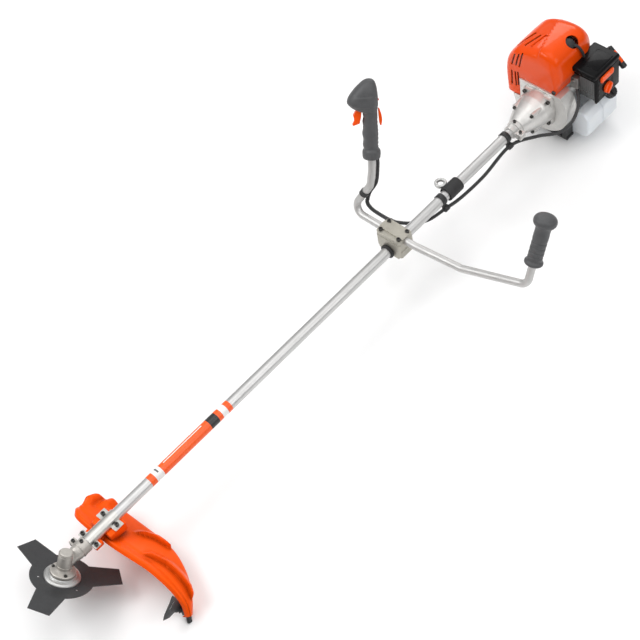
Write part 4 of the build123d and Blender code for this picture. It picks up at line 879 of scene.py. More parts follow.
# ---------------------------------------------------------------------------
# Throttle grip: two halves with a seam
# ---------------------------------------------------------------------------
# Columns: height up the handle, forward offset, half depth, half width
GRIP_LEVELS = [
    (0, 0, 17.5, 18.5), (0.8, 0, 19.2, 20.2), (4, 0, 20.4, 21.4), (12, 0, 21.0, 22.0),
    (19, 0, 20.3, 21.3), (23.5, 0.5, 17.9, 18.9), (27, 1, 17.2, 18.2), (38, 1.2, 17.5, 18.5),
    (60, 1.5, 18.0, 19.0), (84, 1.7, 17.4, 18.4), (104, 2, 17.0, 18.0), (112, 3.2, 17.8, 18.2),
    (115.5, 8, 22.5, 20.2), (121, 13.0, 28.5, 22.2), (128, 16.5, 33.0, 24.2),
    (134.5, 18.6, 35.0, 25.0), (144, 17.6, 34.0, 25.0), (155, 14.6, 30.2, 24.2),
    (166, 10.8, 25.0, 21.8), (175.5, 7.2, 19.2, 18.0), (182, 4.8, 14.0, 14.0),
    (185.8, 3.5, 8.8, 9.4), (187.2, 2.9, 3.6, 4.2)]
# Openings for the trigger, lockout, switch and the trigger's top: x, z, size, corner radius
GRIP_POCKETS = [(30, 97.6, (60, 13, 43.8), 1.0), (-24.25, 98, (24.5, 10, 44), 1.0),
                (-13, 142, (12, 9, 18), 0.8), (17.2, 116.2, (34, 12.9, 15), 0.8)]
GRIP_HOLES = [(14, 24), (14, 70), (36, 150)]      # x, z of the round holes in one side
SEAM_GAP = 0.14            # from the middle plane to each half


def grip_row(z, offset, half_depth, half_width):
    half_depth, half_width = max(half_depth, 1.2), max(half_width, 1.2)
    power = 2.0 + 0.35 * smoothstep(z, 104, 118)
    sides = 72
    row = []
    for k in range(sides):
        a = 2 * pi * k / sides
        c, s = cos(a), sin(a)
        q = (abs(c) ** power + abs(s) ** power) ** (-1 / power)
        x, y = half_depth * q * c, half_width * q * s
        # three finger swells at the front of the handle
        if 20 < z < 100 and c > 0:
            x += 0.9 * c * sin((z - 20) / 80 * 3 * 2 * pi - pi / 2)
        # raised side panel of the hood
        if z > 114:
            y += (1.4 * np.sign(s) * smoothstep(z, 126, 128) * (1 - smoothstep(z, 150, 152))
                  * smoothstep(abs(s), 0.62, 0.70))
        # seven moulded grooves across the back of the handle
        if 30 < z < 100 and c < -0.2:
            x += (0.8 * (0.5 + 0.5 * math.tanh(4 * sin((z - 30) / 70 * 7 * 2 * pi)))
                  * smoothstep(-c, 0.2, 0.5))
        row.append(grip(offset + x, y, z))
    return row


def grip_halves():
    whole = new_obj(grid_bm([grip_row(*level) for level in catmull(GRIP_LEVELS, 150)]))
    cutters = [cylinder(grip(0, 0, -2), GRIP_UP, GRIP_BORE, 0, 95, 40)]
    cutters += [block(grip(x, 0, z), size, GRIP_AXES, radius)
                for x, z, size, radius in GRIP_POCKETS]
    cutters += [cylinder(grip(x, -14.0, z), -GRIP_SIDE, 3.3, 0, 16, 24) for x, z in GRIP_HOLES]
    cut(whole, cutters)
    for sign, side in ((1, "left"), (-1, "right")):
        bm = bmesh.new()
        bm.from_mesh(whole.data)
        result = bmesh.ops.bisect_plane(
            bm, geom=bm.verts[:] + bm.edges[:] + bm.faces[:], dist=1e-6,
            plane_co=Vector(grip(0, SEAM_GAP * sign, 60)) * MM,
            plane_no=Vector(GRIP_SIDE * sign), clear_inner=True)
        rim = [e for e in result["geom_cut"] if isinstance(e, bmesh.types.BMEdge)]
        bmesh.ops.holes_fill(bm, edges=rim, sides=0)
        new_obj(bm, name="grip_half_" + side, mat="dark_grip", body="handlebar_group",
                stands_for="throttle_grip_" + side, sharp=38)
    discard(whole)


def grip_control(points, half_width, rim, corner, **finish):
    """Plate in the grip's middle plane; points are (x, z)."""
    soft_extrude(rounded_poly(points, corner), lambda x, z, y: grip(x, y, z),
                 -half_width, half_width, rim, sharp=60, **finish)


grip_halves()
grip_control([(20.8, 117.8), (31, 118.2), (36.5, 112), (40.8, 104), (38.2, 96), (38.4, 90),
              (43, 82), (40, 80.2), (26, 85), (22.6, 100)], half_width=5.7, rim=1.6, corner=3.0,
             name="trigger_blade", mat="trigger_orange", body="trigger",
             stands_for="throttle_trigger")
grip_control([(-16.1, 118.3), (-19.5, 117.5), (-23.6, 104), (-25.4, 92), (-23.5, 78.2),
              (-20.7, 78.2), (-18.6, 84), (-16.3, 112)], half_width=4.35, rim=0.9, corner=1.2,
             name="lockout_pad", mat="trigger_orange", body="lockout", stands_for="lockout_lever")
grip_control([(-8, 143.8), (-8, 136.2), (-15, 136.2), (-18.4, 137.2), (-18.4, 139.8),
              (-16, 143.8)], half_width=3.85, rim=0.8, corner=0.9,
             name="switch_tab", mat="red_plastic", body="switch", stands_for="stop_switch")


# ---------------------------------------------------------------------------
# Plain grip on the other arm: collar, four grooves and a bulbous end
# ---------------------------------------------------------------------------
def plain_grip():
    outer = [(0, 18.6), (0.6, 20.0), (2.2, 21.2), (4.2, 21.5), (6.6, 21.1), (8.6, 19.8),
             (10.4, 17.6), (12.4, 16.6), (15, 16.7)]
    groove = [(4.2, 17.3), (2.6, 17.2), (1.6, 16.4), (0.6, 15.8)]     # half width, radius
    for z in range(22, 59, 12):
        outer += [(z - half, r) for half, r in groove]
        outer += [(z + half, r) for half, r in reversed(groove)]
    outer += [(66, 17.6), (74, 17.7), (82, 17.2), (90, 17.3), (94, 18.2), (97.5, 20.6),
              (101, 23.8), (104.5, 25.8), (108, 26.5), (112, 26.3), (115.5, 24.9), (118.5, 22.2),
              (120.6, 18.0), (121.8, 12.0), (122.4, 6.0), (122.5, 0)]
    bore_depth = 101
    profile = [(bore_depth, 0.0), (bore_depth, GRIP_BORE), (0, GRIP_BORE)]
    # long spans get a midpoint
    for (z0, r0), (z1, r1) in zip(outer[:-1], outer[1:]):
        profile.append((z0, r0))
        if z1 - z0 > 4:
            profile.append(((z0 + z1) / 2, (r0 + r1) / 2))
    profile.append(outer[-1])
    revolve(bar(367.3, 121), bar(369.5, 218) - bar(367.2, 117), profile, 96,
            name="plain_grip_body", mat="dark_grip", body="handlebar_group",
            stands_for="left_grip", sharp=55)


plain_grip()

# ---------------------------------------------------------------------------
# Engine hood: moulded shell raised on its +X side, with louvres and a plug opening
# ---------------------------------------------------------------------------
HOOD_KNOTS = [(-105, -7), (-107, 30), (-107, 72), (-99, 105), (-76, 133), (-43, 150), (-10, 157),
              (20, 156), (39, 143), (46, 117), (47, 85), (47, 53)]      # x, z
HOOD_OUTLINE = even(catmull(HOOD_KNOTS, 111), count=110)
HOOD_WALL = 2.4
# Share of the way from the inner line to the outline, distance along the shaft
HOOD_LEVELS = [(0, 1607.6), (0.12, 1606.4), (0.24, 1605.4), (0.35, 1604.8), (0.47, 1604.5),
               (0.59, 1604.6), (0.70, 1605.0), (0.78, 1605.8), (0.84, 1607.0), (0.89, 1608.8),
               (0.93, 1611.4), (0.96, 1614.8), (0.98, 1618.8), (0.992, 1623.6), (0.998, 1628),
               (1, 1633)]
HOOD_LEVELS += [(1, 1633 + (1734 - 1633) * k / 24) for k in range(1, 25)]
HOOD_LEVELS += [(0.995, 1738.4), (0.985, 1742), (0.968, 1745), (0.945, 1747.4), (0.915, 1749.2),
                (0.88, 1750.4)]
# Rear face: share of the way from a round opening to the outline, distance along
HOOD_REAR = [(0.55, 1751.0), (0.2, 1751.3), (0.0, 1751.4)]
HOOD_OPENING_R = 62
# Louvres through the front: x and z of both ends, then distance along and depth of the cut
FRONT_LOUVRES = [((-85.3, 65.7), (-86.9, 14.9), 1608, 26), ((-74.9, 65.8), (-73.4, 18.1), 1608, 26),
                 ((-66.6, 68.9), (-66.4, 22.0), 1608, 26),
                 ((-74.2, 122.4), (-84.3, 83.8), 1610, 34), ((-60.8, 129.8), (-72.5, 86), 1610, 34),
                 ((-50.2, 136.9), (-61.9, 86.2), 1610, 34)]
# Louvres over the -X shoulder: both ends as x, distance along, z
SHOULDER_LOUVRES = [((-75, 1678, 148), (-83, 1632, 126)), ((-56.5, 1672, 160), (-66, 1630, 145)),
                    ((-42, 1676, 165), (-46, 1628, 156))]
PLUG = point(2, 1690, 99.0)
PLUG_DIR = np.array([0.5, 0, 0.866])


def hood_inner(f):
    """Line the front face starts from: up one side, then across to +X."""
    if f < 0.36:
        return np.array([-61.0, -7 + 59 * f / 0.36])
    return np.array([-61 + 107 * ((f - 0.36) / 0.64), 52.0])


def hood_point(i, share, along):
    last = len(HOOD_OUTLINE) - 1
    outline = HOOD_OUTLINE[i]
    tangent = unit(HOOD_OUTLINE[min(i + 1, last)] - HOOD_OUTLINE[max(i - 1, 0)])
    if along < 1740:
        inner = hood_inner(i / last)
        p = inner + (outline - inner) * share
    else:
        p = outline * share
    step_x = -33 + (1715 - along) / 75 * 20
    rise = ((9.0 * smoothstep(p[0] - step_x, -1.8, 1.8)
             - 3.0 * smoothstep(p[0], -84, -60) * smoothstep(p[1], 90, 120))
            * smoothstep(share, 0.86, 0.985) * (1 - smoothstep(along, 1722, 1746)))
    rise *= smoothstep(last - i, 2, 12)
    # soft belly along the flanks and a shallow dish across the front
    belly = sin(pi * min(1, max(0, (along - 1612) / 130)))
    rise += 1.6 * belly * smoothstep(share, 0.95, 1.0)
    dish = 1.6 * bell(share, 0.5, 0.2) * smoothstep(i, 4, 14) * smoothstep(last - i, 4, 14)
    q = p + np.array([-tangent[1], tangent[0]]) * rise
    return point(q[0], along + dish, q[1])


def hood_rear_row(share, along):
    row = []
    for outline in HOOD_OUTLINE:
        rim = outline * HOOD_LEVELS[-1][0]
        a = math.atan2(rim[1], rim[0])
        opening = np.array([HOOD_OPENING_R * cos(a), HOOD_OPENING_R * sin(a)])
        q = opening + (rim - opening) * share
        row.append(point(q[0], along, q[1]))
    return row


def slot_cutter(start, end, width, depth, out):
    along = unit(end - start)
    out = np.asarray(out, float)
    out = unit(out - along * (out @ along))
    return block((start + end) / 2, (np.linalg.norm(end - start), width, depth),
                 (along, np.cross(along, out), out), width * 0.45, 3)


def hood_cutters():
    cutters = [slot_cutter(point(x0, along, z0), point(x1, along, z1), 4.4, depth, (0, -1, 0))
               for (x0, z0), (x1, z1), along, depth in FRONT_LOUVRES]
    cutters += [slot_cutter(point(*start), point(*end), 7.4, 44, (-0.62, -0.1, 0.78))
                for start, end in SHOULDER_LOUVRES]
    cutters.append(cylinder(PLUG, PLUG_DIR, 17.0, 20, 110, 48))
    # notch in the +X edge
    cutters.append(block(point(46, 1688, 47), (14, 50, 52), AXES, 2.5, 3))
    return cutters


def make_hood():
    rows = [[hood_point(i, share, along) for i in range(len(HOOD_OUTLINE))]
            for share, along in HOOD_LEVELS]
    rows += [hood_rear_row(share, along) for share, along in HOOD_REAR]
    hood = new_obj(grid_bm(rows, close=False, caps=False), name="hood", mat="cover_orange")
    centre = Vector(point(-20, 1680, 60)) * MM
    if sum((f.center - centre).dot(f.normal) for f in hood.data.polygons) < 0:
        hood.data.flip_normals()
    thicken(hood, HOOD_WALL)
    bm = bmesh.new()
    bm.from_mesh(hood.data)
    bmesh.ops.recalc_face_normals(bm, faces=bm.faces)
    if bm.calc_volume(signed=True) < 0:
        bmesh.ops.reverse_faces(bm, faces=bm.faces)
    bm.to_mesh(hood.data)
    bm.free()
    cut(hood, hood_cutters())
    hood.data.shade_smooth()
    hood.data.set_sharp_from_angle(angle=radians(38))
    register(hood, "frame", "engine_cover")


make_hood()
# screw on the front shoulder, and a screen behind the lower front louvres
revolve(point(43.5, 1604.2, 62), -Y, [(-6, 3.0), (0, 3.0), (0, 5.6), (2.4, 5.6), (3.4, 4.9),
                                      (3.4, 2.6), (1.4, 2.4), (1.4, 0)], 32,
        name="hood_screws", mat="bolt_dark", body="frame", sharp=40)
block(point(-77, 1611.5, 44), (30, 1.4, 66), AXES, 0.5, 2, name="vent_screen", body="frame",
      sharp=50)

# ---------------------------------------------------------------------------
# Fuel tank with its parting seam, cap and neck
# ---------------------------------------------------------------------------
TANK = [(-86, -99), (100, -99), (111, -86), (111, -36), (98, -22), (74, -22), (58, -67),
        (-58, -67), (-70, -50), (-86, -50)]      # x, z
TANK_CORNERS = [12, 14, 10, 12, 10, 8, 10, 10, 8, 10]
TANK_START, TANK_END = 1648.5, 1767.5
TANK_SEAM = (TANK_START + TANK_END) / 2
SEAM_PROFILE = [(-0.4, -1.1), (1.0, -0.8), (1.3, 0.0), (1.0, 0.8), (-0.4, 1.1)]   # out, along
CAP_DIR = unit([0.6, 0, 0.8])
CAP_BASE = point(95, 1746, -30.0) + CAP_DIR * 9.5
# Along, radius, share of flute depth
CAP_PROFILE = [(0, 14.8, 0), (0.2, 16.0, 0), (1.0, 16.5, 0), (2.0, 16.5, 0.3), (2.6, 16.5, 1),
               (12.0, 16.2, 1), (13.2, 15.8, 0.8), (14.2, 14.9, 0.3), (14.8, 13.6, 0),
               (15, 12.0, 0), (15, 11.2, 0), (14.0, 10.8, 0), (13.8, 9.0, 0), (13.8, 2.0, 0)]


def fuel_tank():
    outline = rounded_poly(TANK, TANK_CORNERS)
    shell = soft_extrude(outline, lambda x, z, along: point(x, along, z), TANK_START, TANK_END,
                         6.0, segments=6)
    seam_rows = [[point(p[0], TANK_SEAM + along, p[1]) for p in inset(outline, -out)]
                 for out, along in SEAM_PROFILE]
    join([shell, new_obj(grid_bm(seam_rows))], name="tank", mat="tank_white", body="frame",
         stands_for="fuel_tank", sharp=50)


fuel_tank()
knurled(CAP_BASE, CAP_DIR, CAP_PROFILE, flutes=16, depth=1.3, name="fuel_cap_knurled", body="cap",
        stands_for="fuel_cap", sharp=50)
block(CAP_BASE + CAP_DIR * 14.6, (19, 4.6, 3.4), (unit(np.cross(CAP_DIR, Y)), Y, CAP_DIR), 1.2, 3,
      name="cap_bar", body="cap", sharp=50)
revolve(CAP_BASE - CAP_DIR * 15, CAP_DIR, [(0, 14.5), (12.5, 14.5), (13.4, 15.4), (14.6, 15.4),
                                           (14.6, 13.0), (0, 13.0)], 48, loop=True,
        name="tank_neck", mat="tank_white", body="frame", sharp=40)


# ---------------------------------------------------------------------------
# Air filter box
# ---------------------------------------------------------------------------
def filter_cover():
    def front_notch(z, height):
        return block(point(78, 1668, z), (74, 13.2, height), AXES, 2.0, 3)

    box = block(point(85.5, 1714, 56), (75, 92, 88), AXES, 7.0, 5)
    cutters = [block(point(82.7, 1714, 50), (74.6, 87.2, 95), AXES, 4.6, 4),
               front_notch(36, 92),
               block(point(52, 1756, 34), (28, 20, 60), AXES, 2.0, 3)]
    # shallow grooves across the top, and a recess in the outer face
    for along in (1688, 1740):
        cutters.append(block(point(88, along, 100.4), (60, 2.0, 2.6), AXES, 0.6, 2))
    cutters.append(block(point(123.6, 1709, 42), (3.0, 40, 40), AXES, 1.2, 3))
    cut(box, cutters)
    ribs = [block(point(122.6, 1676, 24 + i * 15), (1.8, 4.0, 9.0), AXES, 0.7, 2)
            for i in range(4)]
    rim = block(point(84, 1714, 13.6), (72, 90, 2.4), AXES, 1.0, 2)
    cut(rim, [block(point(82.0, 1714, 13.6), (71, 85, 12), AXES, 1.5, 2),
              front_notch(13.6, 12),
              block(point(48, 1714, 13.6), (16, 110, 12), AXES, 1.5, 2)])
    lid = block(point(84.5, 1711, 101.3), (76.6, 101, 15.5), AXES, 5.6, 5)
    lid_panel = block(point(92, 1713, 109.2), (44, 62, 2.4), AXES, 1.1, 3)
    join([box] + ribs + [rim, lid, lid_panel], name="filter_box", mat="gloss_black",
         body="frame", stands_for="air_filter_cover", sharp=45)


def filter_base():
    flute_width = 6.2
    # fluted front face seen from above, then plain flanks
    outline = [(66.6 + i * flute_width + flute_width * k / 6,
                1673.6 - 1.4 * sin(pi * k / 6) ** 0.7) for i in range(8) for k in range(7)]
    outline += [(118.4, 1674), (118.5, 1676), (118.5, 1752), (117, 1754.5), (67, 1754.5),
                (65.5, 1752), (65.5, 1676), (65.8, 1674)]
    levels = [(15.0, 1.0), (15.4, 0.4), (16.2, 0.0), (54, 0.0), (93.8, 0.0), (94.6, 0.4),
              (95.0, 1.0)]      # z, inset
    rows = [[point(p[0], p[1], z) for p in inset(outline, margin)] for z, margin in levels]
    bands = [block(point(92, 1673.4, z), (52.5, 2.8, 2.2), AXES, 0.7, 2) for z in (32, 78)]
    join([new_obj(grid_bm(rows))] + bands, name="filter_base_fluted", mat="grey_plastic",
         body="frame", stands_for="air_filter_base", sharp=40)


def choke_tab():
    outline = rounded_poly([(1680, 75.5), (1730, 75.5), (1730, 92.5), (1680, 92.5)], 6)
    pad = soft_extrude(outline, lambda along, z, x: point(x, along, z), 123.15, 127.4, 1.1)
    nub = block(point(127.9, 1684, 84), (3.2, 4.4, 13), AXES, 1.2, 3)
    hub = revolve(point(127.0, 1722, 84), X, [(0, 6.2), (0.9, 6.2), (1.5, 5.4), (1.5, 3.0),
                                              (0.6, 2.6), (0.6, 0)], 40)
    join([pad, nub, hub], name="choke_tab", mat="trigger_orange", body="choke",
         stands_for="choke_lever", sharp=42)


def filter_knob():
    turn = radians(55)
    bar_dir = np.array([0, cos(turn), sin(turn)])
    # along, radius, share of flute depth
    profile = [(0.1, 14.0, 0), (0.1, 15.0, 0), (0.8, 15.0, 0.6), (1.6, 15.0, 1), (4.4, 15.0, 1),
               (5.4, 14.4, 0.4), (5.9, 13.4, 0), (6.0, 12.0, 0), (6.0, 3.0, 0)]
    disc = knurled(point(123.1, 1709, 42), X, profile, flutes=22, depth=0.5)
    handle = block(point(128.6, 1709, 42), (9.6, 27.5, 6.6), (X, bar_dir, np.cross(X, bar_dir)),
                   1.6)
    join([disc, handle], name="knob_grip", mat="trigger_orange", body="knob",
         stands_for="filter_knob", sharp=42)


filter_cover()
filter_base()
choke_tab()
filter_knob()

# ---------------------------------------------------------------------------
# Starter handle with its insert
# ---------------------------------------------------------------------------
HANDLE_ALONG, HANDLE_OUT = unit([0.76, 0, -0.65]), unit([0.65, 0, 0.76])
HANDLE_CENTRE = point(104, 1772, 77.0)
HANDLE_HALF = 33.0


def starter_handle():
    sides, steps = 40, 48
    power = 2.8
    rows = []
    for k in range(steps + 1):
        s = -HANDLE_HALF + 2 * HANDLE_HALF * k / steps
        f = abs(s) / HANDLE_HALF
        end = smoothstep(f, 0.93, 1.0)
        half_out = 7.6 + 1.1 * f ** 3 - 7.38 * end
        half_wide = 8.3 - 2.4 * f ** 2 - 5.2 * end
        flute = 0.5 * max(0, sin(s * 0.9)) if abs(s) < 24 else 0
        row = []
        for i in range(sides):
            c, q = cos(2 * pi * i / sides), sin(2 * pi * i / sides)
            g = (abs(c) ** power + abs(q) ** power) ** (-1 / power)
            row.append(HANDLE_CENTRE + HANDLE_ALONG * s
                       + HANDLE_OUT * (half_out * g * c - flute * (c > 0.3))
                       + Y * half_wide * g * q)
        rows.append(row)
    new_obj(grid_bm(rows), name="starter_grip", body="pull_handle", stands_for="starter_handle",
            sharp=50)
    block(HANDLE_CENTRE + HANDLE_OUT * 7.3, (34, 8.4, 3.0), (HANDLE_ALONG, Y, HANDLE_OUT), 1.2, 3,
          name="starter_insert", mat="trigger_orange", body="pull_handle", sharp=50)


starter_handle()


# ---------------------------------------------------------------------------
# Plug boot: ribbed barrel, side arm, rounded top and a short corrugated lead
# ---------------------------------------------------------------------------
def plug_boot():
    barrel = revolve(PLUG, PLUG_DIR, [
        (29.4, 8.2), (30, 10.2), (31.6, 10.6), (33.4, 10.6), (34.2, 9.6), (36, 9.5), (36.8, 10.4),
        (39.4, 10.4), (40.2, 9.6), (42, 9.6), (43, 11.2), (46, 12.0), (50, 12.3), (54, 11.4),
        (57, 8.6), (58.4, 4.0), (58.6, 0)], 56)
    arm = revolve(PLUG + PLUG_DIR * 49, (-0.55, 0.75, 0.2), [
        (4, 8.4), (14, 7.0), (15.2, 6.4), (16.0, 5.2), (22.0, 4.9), (22.6, 3.4), (22.6, 0)], 40)
    ball_centre = PLUG + PLUG_DIR * 59.5 + np.array([-2, -7, -1])
    ball = revolve(ball_centre, PLUG_DIR, [
        (-15 + 15 * (1 - cos(pi * k / 14)), 15.5 * sin(pi * k / 14) ** 0.9 * (1 - 0.12 * k / 14))
        for k in range(15)], 48)
    lead_offsets = [(8, 2, 2), (19, 8, -1), (27, 14, -16), (31, 18, -36)]
    lead = corrugated([ball_centre + np.array(offset) for offset in lead_offsets], 3.6,
                      pitch=3.0, depth=0.35)
    join([barrel, arm, ball, lead], name="plug_cap", mat="rubber", body="frame",
         stands_for="plug_boot", sharp=50)


plug_boot()

# ---------------------------------------------------------------------------
# Corrugated looms, their clips and the free loop between them
# ---------------------------------------------------------------------------
LOOM_R = 4.5
BAR_LOOM = [grip(-13.5, 0, -2.5), bar(-92, 128, 15), bar(-88, 90, 15), bar(-100, 58, 15),
            bar(-104, 34, 17)]
SHAFT_LOOM = [point(*p) for p in (
    (-50, 1103, 10), (-38, 1113, 0), (-22, 1141, -19), (0, 1176, -26), (14.5, 1225, -20),
    (18, 1275, -27), (19, 1360, -28), (14.5, 1466, -20), (38, 1540, -37), (70, 1584, -43),
    (90, 1607, -17), (94, 1626, 10), (87, 1643, 33), (72, 1657, 46))]
CLIP_LENGTH = 14


def shaft_clips():
    parts = []
    for along in (1225, 1466):
        start = along - CLIP_LENGTH / 2
        parts += [
            # round the tube, round the loom, and the web between
            collar(point(0, start, 0), Y, CLIP_LENGTH, 13.1, 15.1, 0.6, 0.5, 56),
            collar(point(14.5, start, -20), Y, CLIP_LENGTH, 4.7, 7.6, 0.6, 0.6, 36),
            block(point(10.2, along, -15.2), (7, 13, 9), (unit([1, 0, 1]), Y, unit([-1, 0, 1])),
                  1.0, 2)]
    join(parts, name="loom_clips", body="frame", sharp=45)


def bar_clip():
    low, high = bar(-131.4, 0), bar(-92, 84)
    direction = unit(high - low)
    collar(low + 0.69 * (high - low) - direction * 6, direction, 12, 9.1, 11.0, 0.5, 0.6, 48,
           name="bar_loom_clip", body="handlebar_group", sharp=45)


def free_loom():
    """Loop from the end of the bar loom to the start of the shaft loom."""
    start, end = BAR_LOOM[-1], SHAFT_LOOM[0]
    leave = unit(start - BAR_LOOM[-2])
    arrive = unit(SHAFT_LOOM[1] - end)
    path = [start - leave * 3, start + leave * 5, np.array([-101.5, 309, 42]),
            np.array([-92, 311, 30]), np.array([-76, 315.5, 20]), end - arrive * 7,
            end + arrive * 3]
    loom = corrugated(path, 4.9, name="free_loom")
    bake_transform(loom)


corrugated(BAR_LOOM, LOOM_R, name="bar_loom", body="handlebar_group", stands_for="bar_cable")
corrugated(SHAFT_LOOM, LOOM_R, name="shaft_loom", body="frame", stands_for="shaft_cable")
shaft_clips()
bar_clip()
free_loom()


# ---------------------------------------------------------------------------
# Skirt under the guard's far end, with its foot
# ---------------------------------------------------------------------------
def guard_skirt():
    stations = GUARD_STATIONS
    chosen = [i for i, station in enumerate(stations) if station[0] >= 168]
    rows = []
    for k, i in enumerate(chosen):
        base, tangent, normal = station_frame(stations, i)
        f = k / (len(chosen) - 1)
        drop = 3 + 24 * smoothstep(f, 0.0, 0.62) - 3 * smoothstep(f, 0.8, 1.0)
        v = stations[i][2] + 1.2
        profile = [(v, -3), (v + 0.3, -drop * 0.5), (v + 1.6, -drop + 1), (v + 2.2, -drop),
                   (v + 4.6, -drop), (v + 5.0, -drop + 1), (v + 3.4, -drop * 0.5), (v + 2.8, -3)]
        rows.append([base + BLADE_REAR * rear + normal * n for rear, n in profile])
    x, height, front = stations[-1][:3]
    tangent, normal = slope(stations[-3], stations[-1])
    axes = (tangent, BLADE_REAR, normal)
    base = head(x, 0, height)
    foot = block(base + BLADE_REAR * (front + 6) + tangent * 5 - normal * 8, (24, 12, 7), axes,
                 2.6)
    gusset = block(base + BLADE_REAR * (front + 9) - tangent * 14 - normal * 12, (3, 18, 16),
                   axes, 1.0, 3)
    pad = block(head(215.6, 146, -37), (3.2, 20, 14), (X, BLADE_REAR, BLADE_UP), 1.2, 3)
    join([new_obj(grid_bm(rows)), foot, gusset, pad], name="guard_skirt", body="frame", sharp=45)


# ---------------------------------------------------------------------------
# Line knife: an upright fin with a slot, a foot and a bolt
# ---------------------------------------------------------------------------
KNIFE = [(152, -33), (141, -28), (126, -5), (106, 18), (103, 16), (100, 0), (92, -28), (92, -43),
         (110, -44), (123, -36), (130, -40), (143, -43), (152, -41)]      # rearwards, up
KNIFE_CORNERS = [1, 3, 4, 1.2, 1.2, 2, 2, 1, 2, 2, 2, 1, 1]


def line_knife():
    outline = rounded_poly(KNIFE, KNIFE_CORNERS, 4)
    # drop points that fall on the one before
    outline = [p for k, p in enumerate(outline)
               if k == 0 or np.linalg.norm(p - outline[k - 1]) > 0.05]
    fin = soft_extrude(outline, lambda rear, up, x: head(x, rear, up), 212.6, 214.2, 0.35,
                       segments=2)
    slot_dir = unit(BLADE_REAR * 8 + BLADE_UP * 18)
    cut(fin, [block(head(213.4, 109.5, -11), (22, 3.4, 8), (slot_dir, np.cross(slot_dir, X), X),
                    1.2, 2)])
    foot_centre = head(217.2, 148.5, -40.2)
    foot_dir = unit(X * 10 - BLADE_UP * 23)
    foot_normal = np.cross(foot_dir, BLADE_REAR)
    foot = block(foot_centre, (16, 10, 1.6), (foot_dir, BLADE_REAR, foot_normal), 0.4, 2)
    bolt = revolve(foot_centre, -foot_normal, [(0.6, 3.4), (2.6, 3.4), (3.2, 2.8), (3.2, 1.6),
                                               (1.6, 1.5), (1.6, 0)], 24)
    join([fin, foot, bolt], name="knife", mat="blade_steel", body="frame",
         stands_for="line_knife", sharp=35)


guard_skirt()
line_knife()

# Beads round the gear head: two about the blade axle, one about the shaft
join([collar(head(0, 0, 28.6), BLADE_UP, 1.8, 15.1, 16.1, 0.5, 0.2),
      collar(head(0, 0, -1.6), BLADE_UP, 2.0, 15.4, 16.7, 0.5, 0.3),
      collar(point(0, 43.2, 0), Y, 2.7, 17.6, 18.8, 0.5, 0.3)],
     name="gear_head_beads", mat="cast_grey", body="frame", sharp=40)

# Thick rounded ring round the harness eye
revolve(point(-31, 1262, 4), Z, [(-4.4, 9.4), (-3.2, 7.9), (3.2, 7.9), (4.4, 9.4), (4.9, 11.4),
                                 (4.4, 13.4), (3.2, 14.8), (0, 15.3), (-3.2, 14.8), (-4.4, 13.4),
                                 (-4.9, 11.4)], loop=True,
        name="harness_ring", mat="steel", body="frame", sharp=60)

# ---------------------------------------------------------------------------
# Stage, in metres
# ---------------------------------------------------------------------------
FLOOR_SIZE = 14
FLOOR_CELLS = 24
FLOOR_Z = cad_lo[2] - 0.002


def make_floor():
    bm = bmesh.new()
    count = FLOOR_CELLS
    verts = [[bm.verts.new(((i / count - 0.5) * FLOOR_SIZE, (j / count - 0.5) * FLOOR_SIZE,
                            FLOOR_Z)) for j in range(count + 1)] for i in range(count + 1)]
    for i in range(count):
        for j in range(count):
            bm.faces.new((verts[i][j], verts[i + 1][j], verts[i + 1][j + 1], verts[i][j + 1]))
    mat = Shader("floor")
    colour = mat.mix(mat.remap(mat.noise(2.5, detail=4.0), (0.3, 0.7)),
                     (0.93, 0.93, 0.93), (0.96, 0.96, 0.96))
    mat.feed(mat.inputs["Base Color"], colour)
    mat.inputs["Roughness"].default_value = 0.85
    MATERIALS["floor"] = mat.material
    new_obj(bm, name="floor", mat="floor", smooth=False)


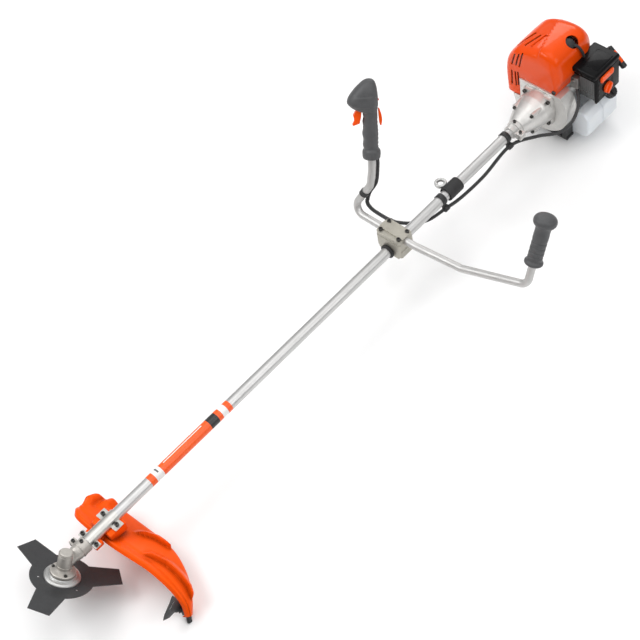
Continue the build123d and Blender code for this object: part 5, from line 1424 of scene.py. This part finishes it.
def make_world():
    """White surround that brightens from the horizon up."""
    world = bpy.data.worlds.new("studio")
    world.use_nodes = True
    tree = world.node_tree
    background = tree.nodes["Background"]
    coords = tree.nodes.new("ShaderNodeTexCoord")
    split = tree.nodes.new("ShaderNodeSeparateXYZ")
    tree.links.new(coords.outputs["Generated"], split.inputs[0])
    fade = tree.nodes.new("ShaderNodeMapRange")
    fade.interpolation_type = "SMOOTHSTEP"
    for key, value in (("From Min", -0.05), ("From Max", 0.85), ("To Min", 0.16),
                       ("To Max", 0.72)):
        fade.inputs[key].default_value = value
    tree.links.new(split.outputs["Z"], fade.inputs["Value"])
    tree.links.new(fade.outputs[0], background.inputs[1])
    background.inputs[0].default_value = (1.0, 1.0, 1.0, 1)
    bpy.context.scene.world = world


def area_light(name, location, target, size, power):
    light = bpy.data.lights.new(name, "AREA")
    light.shape = "RECTANGLE"
    light.size, light.size_y = size
    light.energy = power
    obj = bpy.data.objects.new(name, light)
    bpy.context.scene.collection.objects.link(obj)
    obj.location = location
    aim = Vector(target) - Vector(location)
    obj.rotation_euler = aim.to_track_quat("-Z", "Y").to_euler()


def make_camera():
    data = bpy.data.cameras.new("camera")
    data.sensor_fit = "HORIZONTAL"
    data.sensor_width = 36.0
    data.lens = 95.4028125
    data.clip_start = 0.05
    camera = bpy.data.objects.new("camera", data)
    bpy.context.scene.collection.objects.link(camera)
    # columns: the camera's right, up and backward directions, then its place
    camera.matrix_world = Matrix((
        (0.7350, -0.4737, 0.4852, 1.8575),
        (0.6647, 0.6447, -0.3775, -1.4288),
        (-0.1340, 0.6000, 0.7887, 3.0096),
        (0, 0, 0, 1)))
    bpy.context.scene.camera = camera


make_floor()
make_world()
area_light("key", location=(-1.6, -1.6, 2.6), target=(0, 0.1, 0), size=(1.8, 1.4), power=46)
area_light("fill", location=(2.6, 0.8, 2.0), target=(0, 0.2, 0), size=(2.0, 1.6), power=21)
area_light("top", location=(0.2, 0.3, 3.4), target=(0, 0.1, 0), size=(3.0, 2.4), power=30)
area_light("rim", location=(-1.2, 2.6, 1.6), target=(0, 0.6, 0), size=(1.6, 0.9), power=18)
make_camera()
bpy.context.scene.view_settings.view_transform = "Standard"

bpy.context.view_layer.update()
